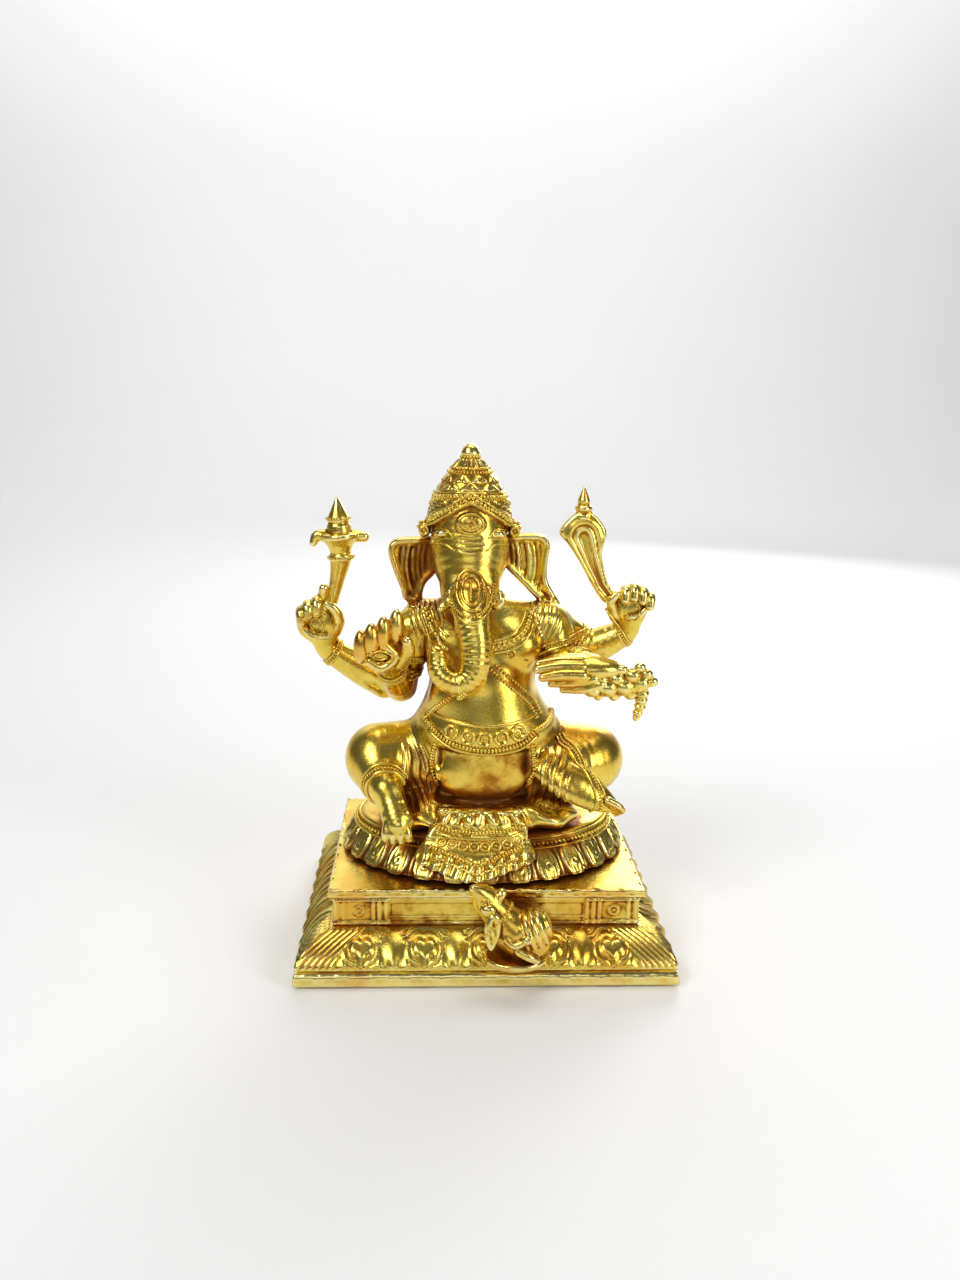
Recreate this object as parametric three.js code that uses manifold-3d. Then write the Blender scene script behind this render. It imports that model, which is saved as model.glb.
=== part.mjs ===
/**
 * Seated elephant-headed deity on a moulded plinth: a small table idol assembled
 * from separate brass castings that are pinned, bolted and brazed together.
 *
 * Millimetres, +Z up. The statue faces -Y and +X is on the viewer's right, so the
 * deity's own right side is at -X. The origin is the centre of the overall box's
 * underside, on the surface the plinth stands on.
 */
import * as THREE from 'three';
import { mergeVertices } from 'three/addons/utils/BufferGeometryUtils.js';
import Module from 'manifold-3d';

const wasm = await Module();
wasm.setup();

// ---------------------------------------------------------------- driving sizes

const joint_gap = 0.3;          // braze film between two castings
const bolt_clearance = 0.35;    // radial play of the stud in its holes

const base_width = 100;         // moulded base, over the bottom bead
const base_depth = 79;
const bead_height = 4.2;        // rounded bead the plinth stands on
const cove_height = 0.5;        // dark groove above the bead
const slope_height = 8;         // carved cyma between the cove and the dado
const slope_run = 9.6;          // how far the cyma steps in on every side
const base_wall = 3.2;
const dado_height = 7.6;
const dado_wall = 2.5;
const plate_thickness = 2.3;
const plate_overhang = 1.3;     // top plate past the dado, all round
const rim_height = 1.6;         // locating rims under the dado and the plate
const rim_wall = 1.8;

const lotus_half_width = 40;    // lotus skirt at its foot
const lotus_half_depth = 29.4;
const lotus_height = 10;
const seat_inset = 4.6;         // seat edge inside the skirt's foot
const petal_pairs = 28;
const petal_relief = 0.5;

const stud_radius = 2.5;
const stud_grip = 9;            // stud length screwed up into the torso
const nut_height = 2.6;
const nut_across_flats = 8;
const washer_radius = 6;
const washer_thickness = 0.8;

const torso_height = 61;        // seat to the top of the neck
const hip_half_width = 21;
const chest_half_width = 17.6;
const neck_radius = 8;
const spigot_radius = 4;        // neck spigot that carries the head
const spigot_height = 6;

const thigh_length = 21;
const thigh_radius = 10;
const knee_radius = 9.3;
const right_rear_arm_lengths = [21.7, 18.6];    // upper arm, forearm
const left_rear_arm_lengths = [15.4, 11.6];
const right_front_arm_lengths = [16.9, 14.2];
const left_front_arm_lengths = [10.6, 14.2];
const arm_radius = 4.6;
const wrist_radius = 3.2;

const head_half_width = 10.5;
const head_depth = 21;
const head_height = 27;
const ear_thickness = 3;
const crown_radius = 11.3;
const crown_height = 21.6;
const crown_tilt = 0.32;        // the brow band rides up towards the front
const trunk_radius = 5;

const goad_head_height = 16.4;
const noose_thickness = 3.4;
const mouse_length = 13;
const mouse_plate_radius = 8.2;
const mouse_plate_thickness = 2.4;

// ---------------------------------------------------------------- small helpers

const at = (x, y, z) => new THREE.Vector3(x, y, z);
const reach = (start, [x, y, z], length) => at(x, y, z).setLength(length).add(start);
const ring_angles = (sides) => Array.from({ length: sides }, (_, i) => 2 * Math.PI * i / sides);

/** Turns a closed three.js geometry into a solid that can be joined and cut. */
function solid(geometry) {
  const bare = geometry.clone();
  bare.deleteAttribute('normal');
  bare.deleteAttribute('uv');
  const merged = mergeVertices(bare, 1e-4);
  return new wasm.Manifold(new wasm.Mesh({
    numProp: 3,
    vertProperties: Float32Array.from(merged.attributes.position.array),
    triVerts: Uint32Array.from(merged.index.array),
  }));
}

/** Turns a solid back into a flat-shaded three.js geometry. */
function geometry_of(body) {
  const mesh = body.getMesh();
  const geometry = new THREE.BufferGeometry();
  geometry.setAttribute('position', new THREE.BufferAttribute(mesh.vertProperties, 3));
  geometry.setIndex(new THREE.BufferAttribute(mesh.triVerts, 1));
  return geometry;
}

const join = (...bodies) => bodies.reduce((sum, body) => sum.add(body));
const cut = (body, ...tools) => tools.reduce((rest, tool) => rest.subtract(tool), body);

/** Skins a row of closed rings, from a first pole or flat cap to a last one. */
function loft(rings) {
  const sides = rings[0].length;
  const points = rings.flat();
  const index = [];
  for (let row = 0; row + 1 < rings.length; row++) {
    for (let i = 0; i < sides; i++) {
      const next = (i + 1) % sides;
      const low = row * sides;
      const high = low + sides;
      index.push(low + i, low + next, high + next, low + i, high + next, high + i);
    }
  }
  const cap = (row, forward) => {
    const centre = rings[row].reduce((sum, p) => sum.add(p), at(0, 0, 0)).divideScalar(sides);
    const pole = points.push(centre) - 1;
    for (let i = 0; i < sides; i++) {
      const here = row * sides + i;
      const next = row * sides + (i + 1) % sides;
      index.push(...(forward ? [pole, here, next] : [pole, next, here]));
    }
  };
  cap(0, false);
  cap(rings.length - 1, true);
  const geometry = new THREE.BufferGeometry().setFromPoints(points);
  geometry.setIndex(index);
  const body = solid(geometry);
  if (body.volume() > 0) {
    return body;
  }
  const turned = new THREE.BufferGeometry().setFromPoints(points);
  turned.setIndex(index.map((_, i) => index[i - i % 3 + 2 - i % 3]));
  return solid(turned);
}

/** Round limb through stations [point, radius], with rounded ends. */
function limb(stations, grow = 0, sides = 12, steps = 2) {
  const path = new THREE.CatmullRomCurve3(stations.map(([point]) => point));
  const girth = new THREE.CatmullRomCurve3(stations.map(([, radius]) => at(radius, 0, 0)));
  const count = steps * (stations.length - 1);
  const frames = path.computeFrenetFrames(count, false);
  const ring = (row, shift, share) => {
    const t = row / count;
    const radius = girth.getPoint(t).x + grow;
    const centre = path.getPointAt(t).addScaledVector(frames.tangents[row], shift * radius);
    return ring_angles(sides).map((angle) => centre.clone()
      .addScaledVector(frames.normals[row], radius * share * Math.cos(angle))
      .addScaledVector(frames.binormals[row], radius * share * Math.sin(angle)));
  };
  const bend = (sides > 8 ? [70, 35] : [50]).map((degrees) => degrees * Math.PI / 180);
  const start = bend.map((angle) => ring(0, -Math.sin(angle), Math.cos(angle)));
  const end = bend.map((angle) => ring(count, Math.sin(angle), Math.cos(angle))).reverse();
  const middle = Array.from({ length: count + 1 }, (_, row) => ring(row, 0, 1));
  return loft([...start, ...middle, ...end]);
}

/** Ball with its own three radii. */
function ball(centre, [rx, ry, rz], grow = 0) {
  const small = Math.max(rx, ry, rz) < 4;
  const geometry = new THREE.SphereGeometry(1, small ? 8 : 10, small ? 5 : 7);
  geometry.rotateX(Math.PI / 2);
  geometry.scale(rx + grow, ry + grow, rz + grow);
  geometry.translate(centre.x, centre.y, centre.z);
  return solid(geometry);
}

/** Block from its centre and three sizes. */
function block(centre, [dx, dy, dz]) {
  const geometry = new THREE.BoxGeometry(dx, dy, dz);
  geometry.translate(centre.x, centre.y, centre.z);
  return solid(geometry);
}

/** Turned piece: profile [radius, height] from axis to axis, standing at a point. */
function turned(profile, foot, lean = [0, 0, 1], segments = 20) {
  const outline = profile.map(([radius, height]) => new THREE.Vector2(radius, height));
  const geometry = new THREE.LatheGeometry(outline, segments);
  const turn = new THREE.Quaternion()
    .setFromUnitVectors(at(0, 1, 0), at(...lean).normalize());
  geometry.applyQuaternion(turn);
  geometry.translate(foot.x, foot.y, foot.z);
  return solid(geometry);
}

/** Upright round rod between two heights. */
function rod(radius, bottom, top, x = 0, y = 0) {
  const height = top - bottom;
  const profile = [[0, 0], [radius, 0], [radius, height], [0, height]];
  return turned(profile, at(x, y, bottom), [0, 0, 1], 24);
}

/** Stack of rectangles [height, half width, half depth]. */
function tiers(levels) {
  const corner = (x, y, z) => [at(x, y, z), at(-x, y, z), at(-x, -y, z), at(x, -y, z)];
  return loft(levels.map(([z, x, y]) => corner(x, y, z)));
}

/** Flat casting cut from an outline in X and Z, centred on a depth. */
function flat_casting(outline, depth, thickness) {
  const geometry = new THREE.ExtrudeGeometry(outline, {
    depth: thickness, bevelEnabled: false, curveSegments: 6,
  });
  geometry.rotateX(Math.PI / 2);
  geometry.translate(0, depth + thickness / 2, 0);
  return solid(geometry);
}

/** Smooth closed outline through points [x, z]. */
function outline_through(points) {
  const flat = points.map(([x, z]) => at(x, z, 0));
  const curve = new THREE.CatmullRomCurve3(flat, true, 'catmullrom', 0.5);
  const shape = new THREE.Shape();
  shape.setFromPoints(curve.getPoints(points.length * 3).slice(0, -1)
    .map((p) => new THREE.Vector2(p.x, p.y)));
  return shape;
}

// ---------------------------------------------------------------- plinth heights

const slope_foot = bead_height + cove_height;
const slope_top = slope_foot + slope_height;
const dado_foot = slope_top + joint_gap;
const dado_top = dado_foot + dado_height;
const plate_foot = dado_top + joint_gap;
const plate_top = plate_foot + plate_thickness;
const lotus_foot = plate_top + joint_gap;
const seat_top = lotus_foot + lotus_height;

const half_width = base_width / 2;
const half_depth = base_depth / 2;
const inset = (z, step) => [z, half_width - step, half_depth - step];
const dado_step = slope_run;
const dado_bore = dado_step + dado_wall;

// ---------------------------------------------------------------- plinth pieces

const cyma = [[0, -0.5], [0.17, -0.3], [0.42, 1.3], [0.68, 4], [0.86, 6.6], [1, slope_run - 0.5]];

const base_tier = (grow = 0) => {
  const outer = tiers([
    inset(-grow, 0.6 - grow),
    inset(0.8 - grow, -grow),
    inset(3.2 + grow, -grow),
    inset(bead_height - 0.1 + grow, 0.8 - grow),
    inset(bead_height + grow, 1.9 - grow),
    inset(slope_foot - 0.05 + grow, 1.9 - grow),
    ...cyma.map(([share, step]) => {
      const z = slope_foot + share * slope_height + grow;
      return inset(z, Math.max(step, 0) + 1.1 * (1 - share) - grow);
    }),
  ]);
  const inner = tiers([
    inset(-1, base_wall),
    inset(slope_foot, base_wall + 0.6),
    inset(slope_foot + 0.35 * slope_height, base_wall + 2.6),
    inset(slope_foot + 0.68 * slope_height, dado_bore),
    inset(slope_top + 1, dado_bore),
  ]);
  return grow > 0 ? outer : cut(outer, inner);
};

/** Rectangular tube between two heights, its outside and its wall stepped in. */
const frame = (bottom, top, step, wall) => cut(
  tiers([inset(bottom, step), inset(top, step)]),
  tiers([inset(bottom - 1, step + wall), inset(top + 1, step + wall)]),
);

const dado_box = () => join(
  frame(dado_foot, dado_top, dado_step, dado_wall),
  frame(dado_foot - rim_height, dado_foot + 2, dado_bore + joint_gap, rim_wall),
  frame(dado_foot, dado_foot + 2, dado_bore - 0.5, rim_wall),
);

const stud_hole = (bottom, top) => rod(stud_radius + bolt_clearance, bottom, top);

const top_plate = () => {
  const plate = tiers([
    inset(plate_foot, dado_step - plate_overhang),
    inset(plate_top, dado_step - plate_overhang),
  ]);
  const rim = frame(plate_foot - rim_height, plate_foot + 0.5, dado_bore + joint_gap, rim_wall);
  return cut(join(plate, rim), stud_hole(plate_foot - 1, plate_top + 1));
};

// ---------------------------------------------------------------- lotus seat

/** Oval lotus skirt: scalloped at the foot, drawn in to a plain seat edge. */
const lotus_seat = (grow = 0) => {
  const levels = [
    [0, 1.4, 1], [0.14, 0.2, 1], [0.34, 0.4, 1], [0.8, seat_inset - 1.4, 0],
    [1, seat_inset, 0],
  ];
  const rings = levels.map(([share, step, relief], row) => {
    const z = lotus_foot + share * lotus_height + (row ? grow : -grow);
    return ring_angles(3 * petal_pairs).map((angle) => {
      const wave = petal_relief * relief * (Math.cos(petal_pairs * angle) - 1) / 2;
      const x = (lotus_half_width - step + wave + grow) * Math.cos(angle);
      const y = (lotus_half_depth - step + wave + grow) * Math.sin(angle);
      return at(x, y, z);
    });
  });
  return cut(loft(rings), stud_hole(lotus_foot - 1, seat_top + 1));
};

// ---------------------------------------------------------------- seat bolt

const washer_top = plate_foot - joint_gap;
const nut_top = washer_top - washer_thickness - 0.05;
const stud_top = seat_top + joint_gap + stud_grip;
const stud_foot = nut_top - nut_height - 1;

const seat_stud = () => rod(stud_radius, stud_foot, stud_top);

const seat_washer = () => cut(
  rod(washer_radius, washer_top - washer_thickness, washer_top),
  stud_hole(washer_top - 2, washer_top + 1),
);

const seat_nut = () => {
  const corner_radius = nut_across_flats / Math.sqrt(3);
  const profile = [[0, 0], [corner_radius, 0], [corner_radius, nut_height], [0, nut_height]];
  const hexagon = turned(profile, at(0, 0, nut_top - nut_height), [0, 0, 1], 6);
  return cut(hexagon, stud_hole(nut_top - nut_height - 1, nut_top + 1));
};

// ---------------------------------------------------------------- torso

const torso_foot = seat_top + joint_gap;
const neck_top = torso_foot + torso_height;

/** Oval sections [share of height, centre x, centre y, half width, half depth]. */
const torso_sections = [
  [0, 0, 2, hip_half_width - 2, 14],
  [0.1, 0, 1.5, hip_half_width - 0.6, 16],
  [0.24, 0, 0.6, hip_half_width, 17.4],
  [0.35, 0, -1, hip_half_width - 0.5, 17.8],
  [0.45, 0, -2, hip_half_width - 1.4, 17.4],
  [0.52, -0.6, -2, chest_half_width - 0.6, 16.4],
  [0.61, -1, -1.2, chest_half_width - 2.8, 14.6],
  [0.7, -1, -0.4, chest_half_width - 2.6, 13.2],
  [0.8, -0.5, 0.6, chest_half_width - 0.4, 12.4],
  [0.9, -0.4, 1.6, chest_half_width - 1, 10.4],
  [0.96, -1.4, 1.9, neck_radius + 4, neck_radius + 0.4],
  [1, -2.6, 2, neck_radius, neck_radius - 1],
];

const shoulder_height = torso_foot + 0.885 * torso_height;
const shoulder = (side, x = 0, y = 0, z = 0) => {
  return at(side * (chest_half_width - 1 + x), 3 + y, shoulder_height + z);
};
const neck = at(-2.6, 2, neck_top);
const spigot = (play) => rod(
  spigot_radius + play, neck_top - 4, neck_top + spigot_height + play, neck.x, neck.y,
);

const torso = (grow = 0) => {
  const rings = torso_sections.map(([share, cx, cy, rx, ry], row) => {
    const z = torso_foot + share * torso_height + (row ? grow : -grow);
    return ring_angles(24).map((angle) => {
      return at(cx + (rx + grow) * Math.cos(angle), cy + (ry + grow) * Math.sin(angle), z);
    });
  });
  const spine = at(0, 3.4, shoulder_height + 0.8);
  const yoke = limb([[shoulder(-1), 5.2], [spine, 5], [shoulder(1), 5.2]], grow);
  const body = join(loft(rings), yoke);
  return grow > 0 ? body : cut(join(body, spigot(0)), stud_hole(torso_foot - 1, stud_top + 1));
};

// ---------------------------------------------------------------- legs and apron

const hip = (side) => at(side * (hip_half_width - 9), 1, torso_foot + 15);
const right_knee = reach(hip(-1), [-1, -0.22, 0.06], thigh_length - 3);
const left_knee = reach(hip(1), [1, -0.14, 0.03], thigh_length - 3);
const right_ankle = right_knee.clone().add(at(2.8, -14, -4.4));
const left_ankle = left_knee.clone().add(at(-12, -12.4, 1.4));

const right_leg = (grow = 0) => join(
  limb([[hip(-1), thigh_radius], [right_knee, knee_radius]], grow, 16),
  limb([
    [right_knee.clone().add(at(0.4, -2.4, -1.6)), 7],
    [right_knee.clone().add(at(2.2, -8, -3.4)), 5.6],
    [right_ankle, 4.2],
  ], grow),
  limb([
    [right_ankle, 3.9],
    [right_ankle.clone().add(at(1.7, -3.2, -3.2)), 3.5],
    [right_ankle.clone().add(at(3.2, -7, -7)), 2.6],
  ], grow),
);

const left_leg = (grow = 0) => join(
  limb([[hip(1), thigh_radius], [left_knee, knee_radius]], grow, 16),
  limb([
    [left_knee.clone().add(at(-1, -2.4, -1)), 7.2],
    [left_knee.clone().add(at(-7, -8.4, 0.4)), 5.4],
    [left_ankle, 4.2],
  ], grow),
  limb([
    [left_ankle.clone().add(at(-1, -3, -0.6)), 3.5],
    [left_ankle.clone().add(at(6.4, -5.6, -3.4)), 3.7],
    [left_ankle.clone().add(at(14.2, -5.8, -7.4)), 2.3],
  ], grow),
);

const apron_thickness = 2.4;

/** Cloth apron: a sheet that falls from the lap over the seat edge to a point. */
const apron_panel = (grow = 0) => {
  const rows = [
    [0, -19.6, 7.4, 9], [0.2, -21.6, 5.6, 11], [0.42, -24.4, 3, 13.4], [0.58, -27.4, 0, 13.6],
    [0.78, -29.4, -3.8, 8.6], [1, -30.4, -8, 2],
  ];
  const thick = apron_thickness + grow;
  return loft(rows.map(([share, y, z, half]) => {
    const centre = at(-1.7 - 2.4 * share ** 2, y, seat_top + z);
    const bow = (x) => 1.6 * (x / 15) ** 2;
    const xs = [-1, -0.6, 0, 0.6, 1].map((f) => f * (half + grow));
    const front = xs.map((x) => centre.clone().add(at(x, bow(x) - grow, 0.25 * thick)));
    const back = xs.map((x) => centre.clone().add(at(x, bow(x) + thick, -0.25 * thick))).reverse();
    return [...front, ...back];
  }));
};

// ---------------------------------------------------------------- head

const head_x = neck.x - 2.7;
const brow = at(head_x, -1.4, neck_top + 19);

const head = (grow = 0) => {
  const dome = limb([
    [at(head_x, 0, brow.z + 1.6), head_half_width - 1.2],
    [at(head_x, -0.6, brow.z - 5.4), head_half_width],
    [at(head_x, -4.6, brow.z - 12.6), head_half_width - 2.4],
    [at(head_x, -8.4, brow.z - 18), head_half_width - 5],
  ], grow, 16, 3);
  const nape_radii = [head_half_width - 1, head_depth / 2 - 2, head_height / 2 - 1.5];
  const nape = ball(at(head_x + 0.6, 3.4, brow.z - 9), nape_radii, grow);
  const body = join(dome, nape);
  return grow > 0 ? body : cut(body, spigot(joint_gap), torso(joint_gap));
};

const trunk_root = at(head_x - 0.1, -13, brow.z - 17.2);

const trunk = (grow = 0) => limb([
  [trunk_root, trunk_radius],
  [trunk_root.clone().add(at(0.7, -4, -5.7)), trunk_radius - 0.6],
  [trunk_root.clone().add(at(1.5, -6, -11.6)), trunk_radius - 1.1],
  [trunk_root.clone().add(at(1.3, -7.2, -16.8)), trunk_radius - 1.4],
  [trunk_root.clone().add(at(-1, -7.8, -20)), trunk_radius - 1.8],
  [trunk_root.clone().add(at(-4.6, -7.4, -20.2)), trunk_radius - 2.2],
  [trunk_root.clone().add(at(-8, -6.2, -17.6)), trunk_radius - 2.6],
  [trunk_root.clone().add(at(-8.8, -4.8, -13.4)), trunk_radius - 2.8],
], grow, 12, 3);

const ear_root = head_half_width - 1.5;

/** Ear: a flat casting with a rolled rim, both given from the head's side outwards. */
function ear(side, depth, outline, rim, grow) {
  const place = (x) => head_x + side * (ear_root + x);
  const sheet = outline_through(outline.map(([x, z]) => [place(x), brow.z + z]));
  return join(
    flat_casting(sheet, depth, ear_thickness + 2 * grow),
    limb(rim.map(([x, y, z, radius]) => [at(place(x), y, brow.z + z), radius + grow]), 0, 10),
  );
}

const right_ear = (grow = 0) => ear(-1, 4, [
  [0, -3], [0.6, -3], [4.6, -3.2], [10.6, -3.6], [12.9, -6.4], [11.6, -12], [9.6, -17],
  [8.4, -20.4], [4.4, -20.6], [2.6, -16], [-0.4, -12],
], [
  [1.4, 3.4, -4, 1.5], [6.6, 2.6, -3.4, 1.9], [11.4, 2.4, -5.8, 1.7], [10.8, 3, -11, 1.3],
], grow);

const left_ear = (grow = 0) => ear(1, 4.4, [
  [-0.6, -3], [3, -2.2], [10.4, -2], [13.2, -4.6], [12.8, -10], [13, -15], [16, -20.6],
  [12, -21.4], [7, -17], [2.4, -12.6], [-0.6, -9],
], [
  [1.6, 3.4, -3, 1.5], [7.4, 2.6, -2.4, 1.8], [12, 2.4, -4.8, 1.6], [11.8, 3, -10, 1.2],
], grow);

const crown_foot = brow.z + 1;
const crown = (grow = 0) => {
  const profile = [
    [0, -6], [crown_radius - 0.4, -6], [crown_radius, 0], [crown_radius - 0.2, 3],
    [crown_radius - 1.2, 6.4], [crown_radius - 2.8, 9.6], [crown_radius - 5, 13],
    [crown_radius - 6.8, 15.4], [crown_radius - 8.2, 17], [crown_radius - 9, 17.6],
    [crown_radius - 8.7, 18.8], [crown_radius - 9.4, 20.2], [crown_radius - 10.6, 21.2],
    [0, crown_height],
  ].map(([radius, height]) => [radius > 0 ? Math.max(radius, 0.3) + grow : 0, height + grow]);
  const body = turned(profile, at(head_x, 1.4, crown_foot), [0, 0, 1], 24);
  const tilt = -Math.atan(crown_tilt) * 180 / Math.PI;
  const brim = block(at(0, 0, -20), [60, 60, 40])
    .rotate([tilt, 0, 0])
    .translate([head_x, 1.4, crown_foot - 1.2 - grow]);
  return body.subtract(brim);
};

// ---------------------------------------------------------------- arms

/** Bent arm: its elbow and wrist, and the limb through them, open to be grown. */
function bent_arm(start, [upper, fore], upper_way, fore_way) {
  const elbow = reach(start, upper_way, upper);
  const wrist = reach(elbow, fore_way, fore);
  const shape = (grow) => join(
    limb([[start, arm_radius], [elbow, arm_radius]], grow, 10, 1),
    limb([[elbow, arm_radius], [wrist, wrist_radius]], grow, 10, 1),
  );
  return { elbow, wrist, shape };
}

/** Rod of a hand: stations given as offsets from the palm and a radius. */
const finger = (palm, stations, grow, sides = 6) => limb(
  stations.map(([x, y, z, radius]) => [palm.clone().add(at(x, y, z)), radius]), grow, sides, 1,
);

const right_rear = bent_arm(
  shoulder(-1, 1.6), right_rear_arm_lengths, [-10, 3, -19], [-15, -3.5, 10.5],
);
const right_rear_palm = right_rear.wrist.clone().add(at(-2.6, -1.6, 7.6));

const right_rear_arm = (grow = 0) => join(
  right_rear.shape(grow),
  finger(right_rear_palm, [[2.6, 1.6, -7.6, wrist_radius], [0, 0, 0, 3.6]], grow, 8),
  ball(right_rear_palm, [6.2, 3.4, 5.6], grow),
  finger(right_rear_palm, [[-5, -1.2, 5.2, 2.1], [0.6, -1.8, 6.8, 2.1]], grow, 8),
  finger(right_rear_palm, [[1.8, -1, 6.6, 1.6], [2, -1, 11, 1.5]], grow),
  finger(right_rear_palm, [[5.4, -1.4, 0, 1.6], [4.6, -1.8, 5, 1.5]], grow),
);

const goad_foot = right_rear_palm.clone().add(at(3.2, -0.4, 5));
const goad_neck = goad_foot.clone().add(at(3, 0, 13.4));
const goad_lean = [-0.06, 0, 1];

const goad = (grow = 0) => {
  const profile = [
    [0, -0.6], [3.3, -0.6], [3.3, 0.8], [2.7, 1.3], [3.4, 3.4], [4.8, 5], [5.2, 5.4], [5.2, 6.4],
    [3.4, 7], [3.2, 8.8], [2.7, 9.6], [3, 10.2], [2.8, 11], [0.3, 16.2], [0, 16.4],
  ].map(([radius, height]) => [radius ? radius + grow : 0, height * goad_head_height / 16.4]);
  const hub = reach(goad_neck, goad_lean, 0.36 * goad_head_height);
  const tip = (side) => hub.clone().add(at(6 * side, 0, 0.2 * side));
  return join(
    limb([[goad_foot, 1.6], [goad_neck, 2.9]], grow, 8, 1),
    turned(profile, goad_neck, goad_lean, 12),
    limb([[tip(-1), 1.7], [hub, 1.3], [tip(1), 1.6]], grow, 8, 1),
  );
};

const left_rear = bent_arm(
  shoulder(1, 0.4), left_rear_arm_lengths, [12.5, 2, -8.7], [9.3, -3, 6.2],
);
const left_rear_palm = left_rear.wrist.clone().add(at(0.6, -1.6, 6.8));

const left_rear_arm = (grow = 0) => join(
  left_rear.shape(grow),
  finger(left_rear_palm, [[-0.6, 1.6, -6.8, wrist_radius], [0, 0, 0, 3.6]], grow, 8),
  ball(left_rear_palm, [4.9, 3.4, 5.4], grow),
  finger(left_rear_palm, [[-2.8, -1.6, 5.4, 2], [4.2, -1.4, 5.2, 2]], grow, 8),
  finger(left_rear_palm, [[-4.4, -1.4, -1, 1.5], [-3.6, -1.8, 5, 1.5]], grow),
);

const noose_foot = left_rear_palm.clone().add(at(-5.4, -0.6, 2.6));

const noose = (grow = 0) => {
  const p = noose_foot;
  const outline = outline_through([
    [-8.6, 24.6], [-2.6, 19.2], [-3.4, 12.4], [-1.4, 5], [1.4, 0.8], [-1.8, -1], [-5.2, 3],
    [-9, 9.6], [-12.6, 15], [-15, 18.8],
  ].map(([x, z]) => [p.x + x, p.z + z]));
  const finial = turned([
    [0, 0], [1.9 + grow, 0], [2.2 + grow, 1.2], [1.5 + grow, 1.9], [1.8 + grow, 2.6],
    [0.3, 6.4], [0, 6.5],
  ], at(p.x - 8.8, p.y, p.z + 23), [0, 0, 1], 12);
  return join(flat_casting(outline, p.y, noose_thickness + 2 * grow), finial);
};

const right_front = bent_arm(
  shoulder(-1, 4, -3.5, -1.6), right_front_arm_lengths, [-3, 0.5, -16.4], [-2.3, -11, 8.4],
);
const right_front_palm = right_front.wrist.clone().add(at(-1.4, -4.2, 5.2));

const right_front_arm = (grow = 0) => join(
  right_front.shape(grow),
  finger(right_front_palm, [[1.4, 4.2, -5.2, wrist_radius], [0, 0, 0, 3]], grow, 8),
  ball(right_front_palm, [6.2, 2.8, 6], grow),
  ...[-5, -1.8, 1.6, 4.6].map((x, i) => finger(right_front_palm, [
    [x, -0.6, 1.4 + 1.2 * i, 1.8], [x + 0.6, -2.4, 5.6 + 2 * i, 1.5],
  ], grow)),
);

const left_front = bent_arm(
  shoulder(1, 0.6, -3.5, 0), left_front_arm_lengths, [2.6, -1, -9], [6.6, -12.4, 1.6],
);
const left_front_palm = left_front.wrist.clone().add(at(0.8, -2.4, 0));

const left_front_arm = (grow = 0) => join(
  left_front.shape(grow),
  ball(left_front_palm, [7.6, 3.6, 2.6], grow),
  finger(left_front_palm, [
    [-4, -1.4, 0.2, 2.1], [-10, -1.8, -0.4, 1.7], [-15.4, -2, 0.2, 0.9],
  ], grow),
  finger(left_front_palm, [[2, -1.2, -3, 2], [-10, -1.8, -4, 1.5]], grow),
  finger(left_front_palm, [[3, 0, 0, 2.4], [9, 0.6, -0.4, 2.2], [13.4, 0.6, -1.4, 1.7]], grow),
);

const sweet_strand = () => {
  const p = left_front_palm;
  const lumps = [[-0.6, -5.2, 2.2], [3.6, -4.9, 2.4], [7.8, -4.8, 2.4], [12.4, -4, 2.1]];
  return join(
    ...lumps.map(([x, z, r]) => ball(p.clone().add(at(x, -1.6, z)), [r, r, r])),
    finger(p, [
      [8, -1.6, -4.4, 1.9], [12, -1.4, -4.6, 1.8], [12.6, -1.2, -8.4, 1.4], [11.6, -1, -13, 0.9],
    ], 0),
  );
};

// ---------------------------------------------------------------- mouse

const mouse_ground = slope_foot + 0.66 * slope_height;
const mouse_spot = at(7, -half_depth - 0.4, mouse_ground);

const mouse_plate = (grow = 0) => {
  const thick = mouse_plate_thickness;
  const r = mouse_plate_radius + grow;
  const profile = [[0, -thick - grow], [r - 1.4, -thick - grow], [r, -0.6 * thick], [r, grow], [0, grow]];
  const dish = turned(profile, at(0, 0, 0), [0, 0, 1], 28);
  return dish.scale([1, 0.76, 1]).translate([mouse_spot.x, mouse_spot.y, mouse_spot.z]);
};

const mouse = (grow = 0) => {
  const p = mouse_spot.clone().add(at(0, 0, joint_gap));
  return join(
    ball(p.clone().add(at(1, 0.2, 4.6)), [mouse_length / 2, 4.8, 4.9], grow),
    limb([
      [p.clone().add(at(-0.6, 0.4, 6)), 4.6],
      [p.clone().add(at(-5.6, 1.4, 10.8)), 3.5],
      [p.clone().add(at(-9, 2, 15.4)), 2.9],
      [p.clone().add(at(-10.6, 2.4, 18.6)), 1.7],
    ], grow, 12),
    limb([[p.clone().add(at(-5, -1, 6)), 2], [p.clone().add(at(-6.6, -2.4, 1.8)), 1.5]], grow, 8),
  );
};

// ---------------------------------------------------------------- assembly

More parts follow.
